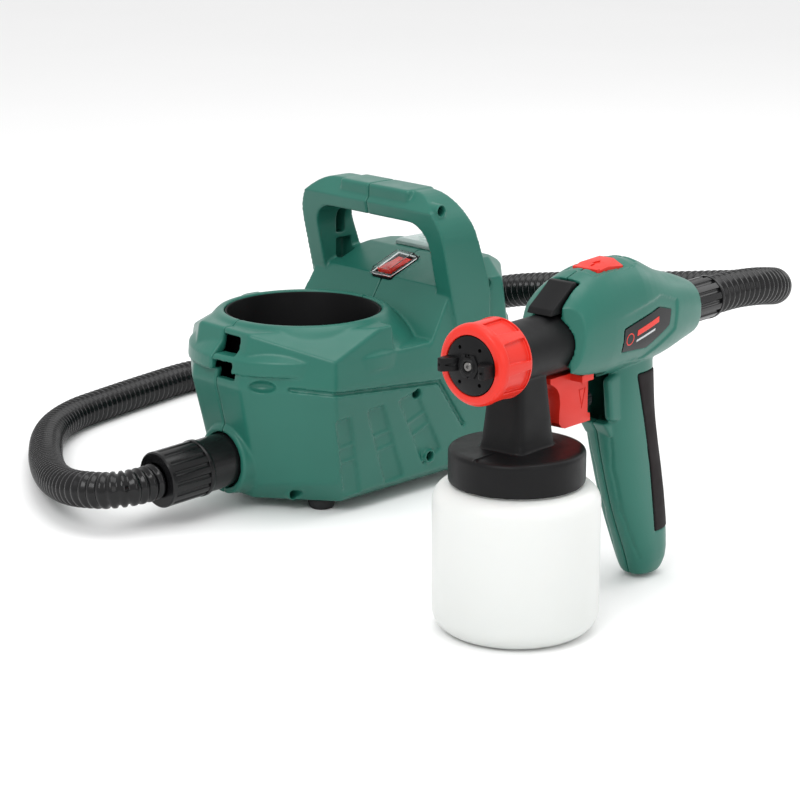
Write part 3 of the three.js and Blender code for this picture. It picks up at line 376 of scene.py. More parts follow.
def chain(points, closed=False):
    """A line of edges, drawn point by point from one vertex."""
    bpy.ops.mesh.primitive_plane_add(size=1, location=(0, 0, 0))
    piece = bpy.context.object
    edit(piece)
    bpy.ops.mesh.merge(type="CENTER")
    bpy.ops.transform.translate(value=points[0])
    for a, b in zip(points, points[1:]):
        bpy.ops.mesh.extrude_vertices_move(TRANSFORM_OT_translate={"value": Vector(b) - Vector(a)})
    if closed:
        bpy.ops.mesh.select_all(action="SELECT")
        bpy.ops.mesh.edge_face_add()
    return done()


def arc(centre, radius, start, end, steps=8):
    """Points on a circle, between two angles in degrees."""
    turns = [math.radians(start + (end - start) * i / steps) for i in range(steps + 1)]
    return [(centre[0] + radius * math.cos(a), centre[1] + radius * math.sin(a)) for a in turns]


PLANES = {
    "xz": (lambda u, v, w: (u, w, v), (0, 1, 0)),
    "xy": (lambda u, v, w: (u, v, w), (0, 0, 1)),
    "yz": (lambda u, v, w: (w, u, v), (1, 0, 0)),
}


def plate(plane, outline, low, high):
    """A flat outline drawn in the plane of two axes, made thick along the third."""
    place, way = PLANES[plane]
    piece = chain([place(u, v, low) for u, v in outline], closed=True)
    edit(piece)
    bpy.ops.mesh.extrude_region_move(TRANSFORM_OT_translate={"value": Vector(way) * (high - low)})
    return facing_out(done())


def facing_out(piece):
    edit(piece)
    bpy.ops.mesh.remove_doubles(threshold=0.001)
    bpy.ops.mesh.normals_make_consistent(inside=False)
    return done()


def turned(profile, axis="z", at=(0, 0, 0), steps=96, closed=False):
    """A body of revolution: a profile of (radius, height) spun about an axis."""
    points = [(r, 0, h) for r, h in profile]
    if closed:
        points.append(points[0])
    piece = chain(points)
    edit(piece)
    bpy.ops.mesh.spin(steps=steps, angle=2 * math.pi, center=(0, 0, 0), axis=(0, 0, 1))
    piece = facing_out(done())
    piece.rotation_euler = AROUND_AXIS[axis]
    piece.location = at
    only(piece)
    return fixed()


def oval(square, sides):
    """Points around an oval of half size 1; a square of 2 is a circle, and more is boxier."""
    points = []
    for i in range(sides):
        a = 2 * math.pi * (i + 0.5) / sides
        points.append([math.copysign(abs(c) ** (2 / square), c) for c in (math.cos(a), math.sin(a))])
    return points


def loft(axis, stations, sides=64, square=2):
    """A body drawn through oval stations: each is (height along the axis, u, v, half u, half v)."""
    place = PLANES[{"x": "yz", "z": "xy"}[axis]][0]
    height, u, v, wide, deep = stations[0]
    piece = chain([place(u + wide * p, v + deep * q, height) for p, q in oval(square, sides)], closed=True)
    edit(piece)
    for before, after in zip(stations, stations[1:]):
        centre = place(before[1], before[2], before[0])
        ratio = [x or 1 for x in place(after[3] / before[3], after[4] / before[4], 0)]
        move = Vector(place(after[1], after[2], after[0])) - Vector(centre)
        bpy.ops.mesh.extrude_region_move(TRANSFORM_OT_translate={"value": (0, 0, 0)})
        bpy.ops.transform.resize(value=ratio, center_override=centre)
        bpy.ops.transform.translate(value=move)
    return facing_out(done())


def between(stations, each=4):
    """More stations along a smooth curve through the given ones."""
    rows = [Vector(s) for s in [stations[0], *stations, stations[-1]]]
    fine = []
    for a, b, c, d in zip(rows, rows[1:], rows[2:], rows[3:]):
        for i in range(each):
            t = i / each
            fine.append([0.5 * (2 * q + (r - p) * t + (2 * p - 5 * q + 4 * r - s) * t * t
                                + (3 * q - p - 3 * r + s) * t ** 3) for p, q, r, s in zip(a, b, c, d)])
    return [*fine, list(stations[-1])]


def apply(piece, kind, **values):
    """Adds a modifier and applies it."""
    only(piece)
    made = piece.modifiers.new(kind, kind)
    for key, value in values.items():
        setattr(made, key, value)
    bpy.ops.object.modifier_apply(modifier=made.name)
    return piece


def soften(piece, width, segments=3, angle=25):
    return apply(piece, "BEVEL", width=width, segments=segments, limit_method="ANGLE",
                 angle_limit=math.radians(angle))


def joined(piece, *tools, how="UNION"):
    for tool in tools:
        apply(piece, "BOOLEAN", object=tool, operation=how, solver="EXACT")
        bpy.data.objects.remove(tool)
    return piece


def cluster(pieces):
    """Separate bodies made one mesh, to cut with together."""
    first, *rest = pieces
    for piece in rest:
        only(first, piece)
        bpy.ops.object.join()
    return first


def cut(piece, *tools):
    return joined(piece, *tools, how="DIFFERENCE")


def kept(piece, tool):
    return joined(piece, tool, how="INTERSECT")


def twin(piece):
    """A copy of a piece, with its own mesh."""
    only(piece)
    bpy.ops.object.duplicate(linked=False)
    return bpy.context.object


def moved(piece, shift):
    edit(piece)
    bpy.ops.transform.translate(value=shift)
    return done()


def placed(piece, matrix):
    """Moves the mesh of a piece by a matrix."""
    piece.matrix_world = matrix @ piece.matrix_world
    only(piece)
    return fixed()


def moulding(piece, voxel, rounds, share):
    """Rounds the edges of a piece as a mould does: a new skin of small cells, smoothed, then thinned."""
    apply(piece, "REMESH", mode="VOXEL", voxel_size=voxel, use_smooth_shade=True)
    apply(piece, "SMOOTH", factor=0.5, iterations=rounds)
    return apply(piece, "DECIMATE", ratio=share)


def settle(piece, name, place, finish_of, body, *nodes, slot=None, angle=40):
    """Names a piece, moves it into the frame, and gives it its finish and its body."""
    only(piece)
    piece.name = name
    piece.data.name = name
    piece.matrix_world = place @ piece.matrix_world
    fixed()
    bpy.ops.object.shade_smooth_by_angle(angle=math.radians(angle))
    piece.data.materials.clear()
    piece.data.materials.append(finish_of)
    if nodes:
        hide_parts(*nodes)
    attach(piece, body)
    return piece


# ---- air hose

# The route of the hose, in the base unit's axes, from the unit's cuff to the gun's cuff.
HOSE_ROUTE = [
    (-140, 0, 34.3), (-152, 0, 33.6), (-165, 3, 33), (-175, 13, 31.5), (-180, 29, 29.5),
    (-179, 47, 26.5), (-174, 67, 23.5), (-165, 91, 20.5), (-152, 117, 17.5), (-137, 143, 15),
    (-121, 168, 14), (-95, 203, 13.8), (-68, 229, 13.8), (-36, 248, 13.8), (0, 259, 13.8),
    (56, 273, 13.8), (108, 283, 13.8), (146, 276, 14.5), (180, 248, 20), (205, 200, 37),
    (218, 140, 66), (224, 70, 97), (225, 10, 117), (228, -45, 128), (236, -100, 136),
    (243, -150, 143), (246, -192, 150), (241, -228, 157), (226, -258, 165), (203, -279, 172),
    (172, -289, 178), (143, -292.8, 180.7), (111.8, -296.2, 181),
]
HOSE_OUTSIDE = 13.4
HOSE_PITCH = 6.2
HOSE_GROOVE = 2.7           # depth of the grooves between the ribs


def smooth_line(points, step):
    """Points at an even step along a smooth curve through the given ones."""
    knots = [Vector(p) for p in points]
    knots = [2 * knots[0] - knots[1], *knots, 2 * knots[-1] - knots[-2]]
    fine = []
    for a, b, c, d in zip(knots, knots[1:], knots[2:], knots[3:]):
        for i in range(24):
            t = i / 24
            fine.append(0.5 * ((2 * b) + (c - a) * t + (2 * a - 5 * b + 4 * c - d) * t ** 2
                               + (3 * b - a - 3 * c + d) * t ** 3))
    fine.append(knots[-2])
    total = sum((q - p).length for p, q in zip(fine, fine[1:]))
    count = round(total / step)
    wanted = [i * total / count for i in range(count + 1)]
    line, gone = [], 0.0
    for p, q in zip(fine, fine[1:]):
        long = (q - p).length
        while len(line) < len(wanted) and wanted[len(line)] <= gone + long + 1e-9:
            line.append(p.lerp(q, (wanted[len(line)] - gone) / long))
        gone += long
    return line, total


def hose():
    rings = 5               # rings of points to each rib
    line, total = smooth_line(HOSE_ROUTE, HOSE_PITCH / rings)
    height = [0.25, 0.92, 1.0, 0.92, 0.25]
    sides = 44
    points, faces = [], []
    side = Vector((0, 0, 1))
    for i, p in enumerate(line):
        ahead = (line[min(i + 1, len(line) - 1)] - line[max(i - 1, 0)]).normalized()
        across = side.cross(ahead).normalized()
        up = ahead.cross(across)
        side = up
        radius = HOSE_OUTSIDE - HOSE_GROOVE * (1 - height[i % rings])
        for k in range(sides):
            a = 2 * math.pi * k / sides
            points.append(UNIT @ (p + radius * (math.cos(a) * across + math.sin(a) * up)))
    for i in range(len(line) - 1):
        for k in range(sides):
            n = (k + 1) % sides
            a, b = i * sides, (i + 1) * sides
            faces.append((a + k, a + n, b + n, b + k))
    faces.append(tuple(reversed(range(sides))))
    faces.append(tuple(range((len(line) - 1) * sides, len(line) * sides)))
    mesh = bpy.data.meshes.new("hose_corrugated")
    mesh.from_pydata(points, [], faces)
    piece = bpy.data.objects.new("hose_corrugated", mesh)
    bpy.context.collection.objects.link(piece)
    edit(piece)
    bpy.ops.mesh.normals_make_consistent(inside=False)
    done()
    bpy.ops.object.shade_smooth()
    mesh.materials.append(HOSE)
    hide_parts("hose_tube")
    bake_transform(piece)
    return piece


# ---- base unit shell

WALL = 5.2
FLOOR = 10.4
SIDE = (-42, -85, 98)       # where the near side meets the nose's chamfer at the parting line
LINER_OUTSIDE = 58.5
OUTLET_HEIGHT = 38


def both_sides(point, way):
    """The same plane on the near and the far side."""
    (x, y, z), (i, j, k) = point, way
    return [((x, y, z), (i, j, k)), ((x, -y, z), (i, -j, k))]


def inward(planes, wall):
    return [(Vector(p) - Vector(n).normalized() * wall, n) for p, n in planes]


LOWER_PLANES = [
    ((-84, 0, 98), (-1, 0, -0.225)),
    *both_sides((-84, -28, 98), (-0.788, -0.581, -0.203)),
    *both_sides(SIDE, (0.042, -0.99, -0.122)),
    *both_sides((0, -75, 17), (0.03, -0.62, -0.78)),
    *both_sides((-64, -13, 9), (-0.62, -0.5, -0.6)),
    *both_sides((168, -50, 98), (0.715, -0.69, -0.1)),
    ((168, 0, 98), (1, 0, -0.12)),
    ((160, 0, 14), (0.6, 0, -0.8)),
    ((-64, 0, 10), (-0.6, 0, -0.8)),
]
UPPER_PLANES = [
    ((-84, 0, 98), (-1, 0, 0.23)),
    *both_sides((-84, -28, 98), (-0.795, -0.586, 0.163)),
    *both_sides(SIDE, (0.042, -0.99, 0.12)),
    *both_sides((168, -50, 98), (0.715, -0.69, 0.05)),
    ((168, 0, 98), (1, 0, 0.05)),
]
HEAD_PLANES = [
    ((-84, 0, 98), (-1, 0, 0.23)),
    *both_sides((-84, -28, 98), (-0.795, -0.586, 0.163)),
    *both_sides((-75, -28, 137), (-0.27, -0.44, 0.86)),
    *both_sides(SIDE, (0.042, -0.99, 0.12)),
]
REAR_PLANES = [
    ((57, 0, 117), (-0.849, 0, 0.528)),
    ((80, 0, 154), (-0.362, 0, 0.932)),
    *both_sides((66, -80, 98), (0.03, -0.99, 0.07)),
    *both_sides((100, -76, 156), (0, -0.5, 0.86)),
    *both_sides((168, -50, 98), (0.715, -0.69, 0.12)),
    *both_sides((150, -60, 156), (0.5, -0.55, 0.66)),
    ((148, 0, 167), (0.42, 0, 0.9)),
    ((163, 0, 155), (0.86, 0, 0.5)),
    ((168, 0, 110), (1, 0, 0.06)),
]


def unit_solid(wall):
    """The base unit without its handle, every face moved in by the wall.

    The head and the rear sit a hair further in, so that no two faces lie in one plane.
    """
    lower = shave(block((-90, -90, FLOOR if wall else 8), (180, 90, 99)), *inward(LOWER_PLANES, wall))
    upper = shave(block((-90, -90, 97), (180, 90, 119 - wall)), *inward(UPPER_PLANES, wall))
    head = shave(block((-90, -90, 110), (20, 90, 137.5 - wall)), *inward(HEAD_PLANES, wall + 0.05))
    rear = shave(block((50, -90, 96), (180, 90, 168 - wall)), *inward(REAR_PLANES, wall + 0.03))
    rim = loft("z", [
        (108, 0, 0, 88 - wall, 83 - wall),
        (118 - wall, 0, 0, 87 - wall, 82.5 - wall),
        (125 - wall, 0, 0, 80 - wall, 76.5 - wall),
        (133 - wall, 0, 0, 71.5 - wall, 70 - wall),
        (137.5 - wall, 0, 0, 67 - wall, 66.5 - wall),
        (140 - wall, 0, 0, 64.2 - wall / 2, 64 - wall / 2),
        (140.8 - wall, 0, 0, 62 - wall / 2, 62 - wall / 2),
    ], sides=96)
    if not wall:
        soften(lower, 4, 3)
        soften(upper, 2.4, 3)
        soften(head, 2.4, 3)
    return joined(lower, upper, head, rear, rim)


def arch(half, top, corner, foot):
    """An arch seen from the front: its half width, its top, the radius of its corners, and its feet."""
    bend = arc((half - corner, top - corner), corner, 0, 90, 12)
    return [(half, foot), *bend, *[(-y, z) for y, z in reversed(bend)], (-half, foot)]


def handle_solid():
    """The carrying handle: an arch, shaved to its side view, with its grip rounded."""
    bow = plate("yz", arch(80, 225.5, 36, 112), 55, 130)
    shave(bow, ((79, 0, 141), (-0.975, 0, -0.22)), ((66, 0, 217), (-0.8, 0, 0.6)),
          ((92, 0, 226), (0.945, 0, 0.329)), ((100, 0, 203), (0.922, 0, 0.386)), ((118, 0, 150), (1, 0, 0)))
    cut(bow, plate("yz", arch(63, 203, 19, 100), 40, 140))
    return soften(bow, 5, 4)


def groove(points, width, depth, outward):
    """A shallow channel along a line on a face that looks outward."""
    strips = []
    for a, b in zip(points, points[1:]):
        a, b = Vector(a), Vector(b)
        along = (b - a).normalized()
        out = Vector(outward).normalized()
        across = out.cross(along).normalized()
        out = along.cross(across)
        size = Matrix.Diagonal(((b - a).length + width, width, depth * 2, 1))
        turn = Matrix((along, across, out)).transposed().to_4x4()
        strip = block((-0.5, -0.5, -0.5), (0.5, 0.5, 0.5))
        strips.append(placed(strip, Matrix.Translation((a + b) / 2) @ turn @ size))
    return strips


NEAR_OUT = (0.042, -0.99, 0)


def near_side(x, z):
    """The point of the near side of the shell at a place seen from the side."""
    lean = -0.122 if z < 98 else 0.12
    return (x, -85 + (0.042 * (x + 42) + lean * (z - 98)) / 0.99, z)


# The shell's screws: x, z, where the post of each begins along y, and where it meets the other half.
SCREWS = {
    "roof": (119.8, 152.7, -76, 0),
    "nose": (-45, 14, -44, 0),
    "handle": (71, 214.5, -78, 0),
    "fan": (61.4, 28.5, -77, -27),
    "holder": (43.8, 81.5, -80, -48),
}
BAND_DEPTH = 2.3            # how far the slanted bands are sunk
RIB_BANDS = [
    [(-39, 76), (-25, 77), (-8, 15), (-24, 14)],
    [(-8, 78), (8, 80), (36, 18), (17, 16)],
    [(24, 80), (42, 84), (74, 32), (57, 22)],
]
SWITCH_TILT = math.radians(21)
SWITCH_PLACE = (Matrix.Translation((93, 0, 154 + 13 * math.tan(SWITCH_TILT)))
                @ Matrix.Rotation(-SWITCH_TILT, 4, "Y"))
BOWL_PLACE = Matrix.Translation((-74.5, -41.5, 100)) @ Matrix.Rotation(math.radians(-53.6), 4, "Z")


def near_details(shell):
    """Cuts the lines, bands, recesses and slots of the near side."""
    line = [near_side(-42, 97), near_side(66, 86.5), near_side(97, 47)]
    tools = groove(line, 3.2, 2.8, NEAR_OUT)
    tools += groove([(-62, -58, 99), (-42.5, -84.5, 97)], 3.4, 3.0, (-0.8, -0.59, 0))
    for outline in RIB_BANDS:
        band = plate("xz", outline, -100, 0)
        skin = shave(block((-80, -110, 0), (110, -40, 95)),
                     (Vector(near_side(-42, 50)) + Vector((0, BAND_DEPTH, 0)), (-0.042, 0.99, 0.122)))
        tools.append(kept(band, skin))
    cut(shell, *tools)
    ribs = []
    for (ax, az), (bx, bz), (cx, cz), (dx, dz) in RIB_BANDS:
        for share in (0.36, 0.55):
            left = (ax + (dx - ax) * share, az + (dz - az) * share)
            right = (bx + (cx - bx) * share, bz + (cz - bz) * share)
            a, b = Vector(near_side(*left)), Vector(near_side(*right))
            a.y += BAND_DEPTH
            b.y += BAND_DEPTH
            ribs += groove([a, b], 1.6, 1.2, NEAR_OUT)
    joined(shell, *ribs)
    bowl = placed(ball((0, 0, 0), (10.5, 6, 4.6)), BOWL_PLACE)
    slots = [block((-95, -20, 102), (-66, 0, 116)), block((-95, -20, 120), (-60, 0, 133))]
    return cut(shell, bowl, *slots)


def unit_shells():
    shell = joined(unit_solid(0), handle_solid())
    boss = loft("x", [(-79, 0, OUTLET_HEIGHT, 24, 24), (-78, 0, OUTLET_HEIGHT, 25.6, 25.6),
                      (-70, 0, OUTLET_HEIGHT, 26.6, 26.6), (-60, 0, OUTLET_HEIGHT, 29, 29)], sides=72)
    grip = soften(block((65.5, -44, 216), (94, 33, 226.3)), 2.5)
    joined(shell, boss, grip)
    near_details(shell)
    hollow = unit_solid(WALL)
    cut(hollow, placed(ball((0, 0, 0), (14, 9.5, 8)), BOWL_PLACE),
        block((-70, 58, 105), (125, 90, 175)), block((-70, -90, 140), (125, -58, 175)))
    cut(shell, hollow)
    ring = rod("x", (-75.5, 0, OUTLET_HEIGHT), 16, 25)
    joined(shell, ring)
    for side in (-1, 1):
        for low in (152, 176):
            inner, outer = sorted((side * 58, side * 74))
            rear = 104 if low < 170 else 97
            cut(shell, soften(block((88, inner, low), (rear, outer, low + 20)), 2))
    switch_hole = placed(block((-15.8, -11.3, -12), (15.8, 11.3, 12)), SWITCH_PLACE)
    cut(shell, rod("z", (0, 0, 64), 100, LINER_OUTSIDE + GAP, sides=96),
        rod("x", (-90, 0, OUTLET_HEIGHT), 40, 20.9, sides=72),
        switch_hole, block((126, -24, 150), (150, 24, 180)), rod("x", (150, 0, 62), 30, 7.3))
    near = kept(twin(shell), block((-200, -200, -10), (300, -GAP / 2, 300)))
    far = kept(shell, block((-200, GAP / 2, -10), (300, 200, 300)))
    for x, z, surface, joint in SCREWS.values():
        post = rod("y", (x, surface + 3, z), joint - GAP - surface - 3, 5.2, sides=24)
        joined(near, post)
        cut(near, rod("y", (x, surface - 40, z), joint - 5 - surface + 40, 3.7, sides=24),
            rod("y", (x, joint - 8, z), 20, 2.1, sides=16))
    for half in (near, far):
        moulding(half, 1.0, 6, 0.45)
    for half, side in ((near, "near"), (far, "far")):
        settle(half, f"shell_{side}_side", UNIT, GREEN, "base_unit", f"unit_shell_{side}",
               slot="green_plastic", angle=60)


# ---- base unit's fittings

def cup_holder():
    bore, outside, top = 56.7, LINER_OUTSIDE, 139.5
    well = turned([
        (0, 62.2), (52.5, 62.2), (56.5, 64), (58, 66.5), (outside, 70), (outside, top - 0.8),
        (outside - 0.5, top), (bore + 0.5, top), (bore, top - 0.8), (bore, 70.5), (bore - 1, 67),
        (bore - 3, 65), (bore - 5.5, 64), (20, 64), (19, 63.6), (0, 63.6),
    ], steps=120)
    lug = rod("y", (43.8, -48, 81.5), 16, 4.6, sides=24)
    cut(lug, rod("z", (0, 0, 50), 100, 57.5, sides=96))
    joined(well, lug)
    soften(well, 0.4, 2, 50)
    settle(well, "cup_holder_well", UNIT, LINER, "base_unit", "cup_holder", slot="black_plastic", angle=35)


def sloping(x, y):
    """Planes that lean in from the four sides of the switch cover."""
    return [*both_sides((-x, -y, 2), (0, -0.9, 0.45)), ((-x, 0, 2), (-0.9, 0, 0.45)),
            ((x, 0, 2), (0.9, 0, 0.45))]


def switch():
    """The red rocker, its black frame, and the clear cover over it."""
    base = soften(block((-15.5, -11, -18), (15.5, 11, 0.6)), 0.8)
    cut(base, soften(block((-13, -8, -6), (13, 8, 5)), 0.5))
    settle(base, "switch_frame", UNIT @ SWITCH_PLACE, BLACK, "base_unit", "switch_housing",
           slot="black_plastic")

    side = [(-11.5, -2), (0, -5), (11.5, -2), (11.5, 0.2), (6, 0.5), (0, 1.5), (-6, 2.2), (-11.5, 2.7)]
    key = soften(plate("xz", side, -7.6, 7.6), 0.5)
    ring = cut(rod("z", (6.5, 0, -1), 5, 2.4, sides=32), rod("z", (6.5, 0, -2), 8, 1.8, sides=32))
    bar = block((-9.5, -0.4, 1), (-5.5, 0.4, 5))
    body = moved(twin(key), (0, 0, -0.35))
    cut(key, joined(ring, bar))
    joined(key, body)
    settle(key, "switch_key", UNIT @ SWITCH_PLACE, RED, "rocker", "switch_rocker", slot="red_plastic")

    cover = shave(block((-15.5, -11, 0.7), (15.5, 11, 5.7)), *sloping(15.5, 11))
    soften(cover, 1.2, 4)
    cut(cover, shave(block((-14.3, -9.8, -1), (14.3, 9.8, 4.8)), *sloping(14.3, 9.8)))
    rim = soften(block((-16.6, -12.1, 0.7), (16.6, 12.1, 1.5)), 0.35)
    cut(rim, block((-14, -9.6, -1), (14, 9.6, 4)))
    joined(cover, rim)
    settle(cover, "switch_cover", UNIT @ SWITCH_PLACE, CLEAR, "base_unit", "switch_boot",
           slot="clear_plastic")


def filter_lid():
    """The pale cover on the motor housing, with a finger scoop."""
    lid = shave(block((121, -30, 168.3), (155, 30, 173.2)), *both_sides((149, -30, 170), (0.6, -0.8, 0.1)),
                *both_sides((130, -27, 173.2), (0, -0.6, 0.8)), ((151, 0, 172.6), (0.7, 0, 0.7)),
                ((123, 0, 172.8), (-0.7, 0, 0.7)))
    soften(lid, 1.6, 4)
    inner = shave(block((123, -28, 167), (152, 28, 171.4)), *both_sides((147, -28, 170), (0.6, -0.8, 0.1)))
    cut(lid, inner)
    scoop = ball((127, 0, 176), (5, 13, 4.2))
    ribs = [soften(block((x, -19, 172.6), (x + 1.4, 19, 173.5)), 0.3) for x in (135, 139, 143)]
    cut(lid, scoop)
    joined(lid, *ribs)
    settle(lid, "filter_lid", UNIT, PALE, "filter_lid", "filter_cover", slot="pale_plastic")


def feet():
    for end, x in (("front", -22), ("rear", 130)):
        for side, y in (("near", -45), ("far", 45)):
            foot = turned([(0, 0), (7.6, 0), (8.6, 0.5), (9.3, 1.6), (9.9, 4.5), (10, 7.7), (0, 7.7)],
                          at=(x, y, 0), steps=48)
            cut(foot, turned([(4.6, -1), (5.8, -1), (5.8, 0.8), (4.6, 0.8)], at=(x, y, 0), steps=32,
                             closed=True))
            settle(foot, f"foot_{end}_{side}_pad", UNIT, FOOT_RUBBER, "base_unit", f"foot_{end}_{side}",
                   slot="black_rubber")


def screw_piece(name, x, z, head, axis_way, place, body):
    """A pan-head screw with a cross recess, its head at a place along Y."""
    profile = [(0, 0), (1.6, 0), (2.5, 0.3), (3.0, 1.0), (3.1, 2.0), (3.1, 3.0), (1.8, 3.0)]
    for i in range(6):
        profile += [(1.8, 3.6 + i * 2), (1.35, 4.6 + i * 2)]
    profile += [(1.3, 15.6), (0.4, 16.9), (0, 17)]
    made = turned(profile, steps=24)
    for turn in (0, math.pi / 2):
        slot = block((-1.8, -0.35, -0.5), (1.8, 0.35, 1.3))
        cut(made, placed(slot, Matrix.Rotation(turn + 0.4, 4, "Z")))
    way = Matrix.Rotation(-math.pi / 2 * axis_way, 4, "X")
    placed(made, Matrix.Translation((x, head, z)) @ way)
    settle(made, f"{name}_cross_head", place, STEEL, body, name, slot="steel")


def screws():
    for i, (x, z, _, joint) in enumerate(SCREWS.values()):
        screw_piece(f"unit_screw_{i + 1}", x, z, joint - 8.3, 1, UNIT, "base_unit")
    for i, (x, z) in enumerate(GUN_SCREWS):
        screw_piece(f"gun_screw_{i + 1}", x, z, GUN_SCREW_HEAD, -1, GUN, "gun")


GUN_SCREWS = [(146, 196), (106, 110), (132, 30)]
GUN_SCREW_HEAD = 8.3        # where the heads sit, along y


def gland():
    """The ribbed sleeve where the mains lead goes in."""
    profile = [(3.5, 160), (7, 160), (7, 168.5), (9.2, 169), (9.4, 170.5), (8.6, 171.2)]
    for i in range(4):
        x, r = 171.6 + i * 2.7, 6.6 - i * 0.35
        profile += [(r - 1.1, x), (r - 1.1, x + 0.7), (r, x + 1), (r, x + 2.3)]
    profile += [(4.6, 182.6), (3.5, 182.8)]
    sleeve = turned([(r, x - 160) for r, x in profile], axis="x", at=(160, 0, 62), steps=48, closed=True)
    settle(sleeve, "lead_sleeve", UNIT, FOOT_RUBBER, "base_unit", "cord_gland", slot="black_rubber")


def fluted(length, radius, bore, flutes, depth, wide, ends=1.0):
    """A sleeve along X with rounded flutes, and plain rings at its ends."""
    sleeve = turned([(bore, 0), (radius - ends, 0), (radius, ends), (radius, length - ends),
                     (radius - ends, length), (bore, length)], axis="x", steps=96, closed=True)
    tools = []
    for i in range(flutes):
        a = 2 * math.pi * i / flutes
        out = radius + wide * 0.5 - depth
        tools.append(rod("x", (3.5, out * math.cos(a), out * math.sin(a)), length - 5, wide * 0.5, sides=16))
    return cut(sleeve, cluster(tools))


def unit_cuff():
    """The black end of the hose: a plain spigot in the outlet, then a fluted sleeve."""
    grip = fluted(36, 20.8, 13.3, 16, 1.2, 4.6)
    spigot = turned([(14.2, 35.5), (19.4, 35.5), (19.9, 36.5), (19.9, 75.5), (14.2, 75.5)], axis="x",
                    steps=96, closed=True)
    collar = turned([(19, 34), (21, 34), (21.3, 34.6), (21.3, 37.4), (21, 38), (19, 38)], axis="x", steps=96,
                    closed=True)
    cuff = joined(grip, spigot, collar)
    droop = Matrix.Translation((-75, 0, OUTLET_HEIGHT)) @ Matrix.Rotation(math.radians(-3), 4, "Y")
    placed(cuff, droop @ Matrix.Translation((-64.5, 0, 0)))
    settle(cuff, "unit_hose_cuff", UNIT, GLOSS, "base_unit", "unit_cuff", slot="black_plastic", angle=35)


def gun_cuff():
    cuff = fluted(34.2, 14.6, 11.7, 12, 1.3, 3.8)
    lip = turned([(11.7, 31.6), (14.9, 31.6), (15, 32.2), (15, 33.8), (14.6, 34.3), (11.7, 34.3)], axis="x",
                 steps=96, closed=True)
    placed(joined(cuff, lip), Matrix.Translation((172.8, 0, AXIS)))
    settle(cuff, "gun_hose_cuff", GUN, GLOSS, "gun", "gun_cuff", slot="black_plastic", angle=35)


# ---- spray gun

# Sections of the head, each (x, bottom, top, half width), and of the handle, each (z, front, rear,
# half width); then the outlines of the rubber, the badges and the button.
HEAD_SECTIONS = [(29, 158, 207, 24.5), (42, 154, 218, 26.5), (64, 152, 224.5, 28), (86, 152, 227, 28.5),
                 (104, 152, 226.5, 28.5), (132, 154, 214, 26), (156, 158.5, 206.5, 22.5),
                 (172, 161.5, 200.5, 19.5)]
HANDLE_SECTIONS = [(2.6, 127, 147.5, 8), (5, 123, 151, 11.5), (20, 117, 154, 15.5), (60, 99, 149, 16.5),
                   (112, 83, 137, 17), (140, 80.5, 133, 17.5), (166, 80, 131, 17.5)]
GRIP_OUTLINE = [(130.5, 35), (175, 35), (175, 149), (104, 149), (113, 118), (122, 84), (127, 56)]
BADGE_OUTLINE = [(74, 171), (102, 169), (126, 180), (128, 190), (113, 194), (74, 186)]
BADGE_FRAME = [(60, 164), (104, 160.5), (134, 175.5), (137, 195), (115, 202), (60, 193)]
BUTTON_OUTLINE = [(67, -9.75), (90, -13.2), (90, 13.2), (67, 9.75)]
BUTTON_LEVEL = [(60, -13), (96, -17), (106, -12), (106, 12), (96, 17), (60, 13)]


def gun_head(inset, fading=False):
    """The head of the gun; when fading, its inset grows from nothing at the front."""
    rows = []
    for x, low, high, half in HEAD_SECTIONS:
        less = inset * min(1, max(0, (x - 66) / 30)) if fading else inset
        rows.append((x, 0, (low + high) / 2, half - less, (high - low) / 2 - less))
    return loft("x", between(rows, 3), square=2.35)


def gun_handle(inset):
    rows = [(z, (front + rear) / 2, 0, (rear - front) / 2 - inset, half - inset)
            for z, front, rear, half in HANDLE_SECTIONS if half > inset + 6]
    return loft("z", between(rows, 3), square=2.6)


def grown(outline, by):
    """A flat outline, larger all round."""
    middle_u = sum(u for u, v in outline) / len(outline)
    middle_v = sum(v for u, v in outline) / len(outline)
    return [(u + math.copysign(by, u - middle_u), v + math.copysign(by, v - middle_v)) for u, v in outline]


def seam_lines():
    """The shallow line down each side of the handle."""
    front = [(84, 116), (91, 86), (102, 54), (114, 29), (121, 16)]
    strip = [*front, *[(x + 1.3, z + 0.3) for x, z in reversed(front)]]
    return cut(plate("xz", strip, -30, 30), gun_handle(1.0))


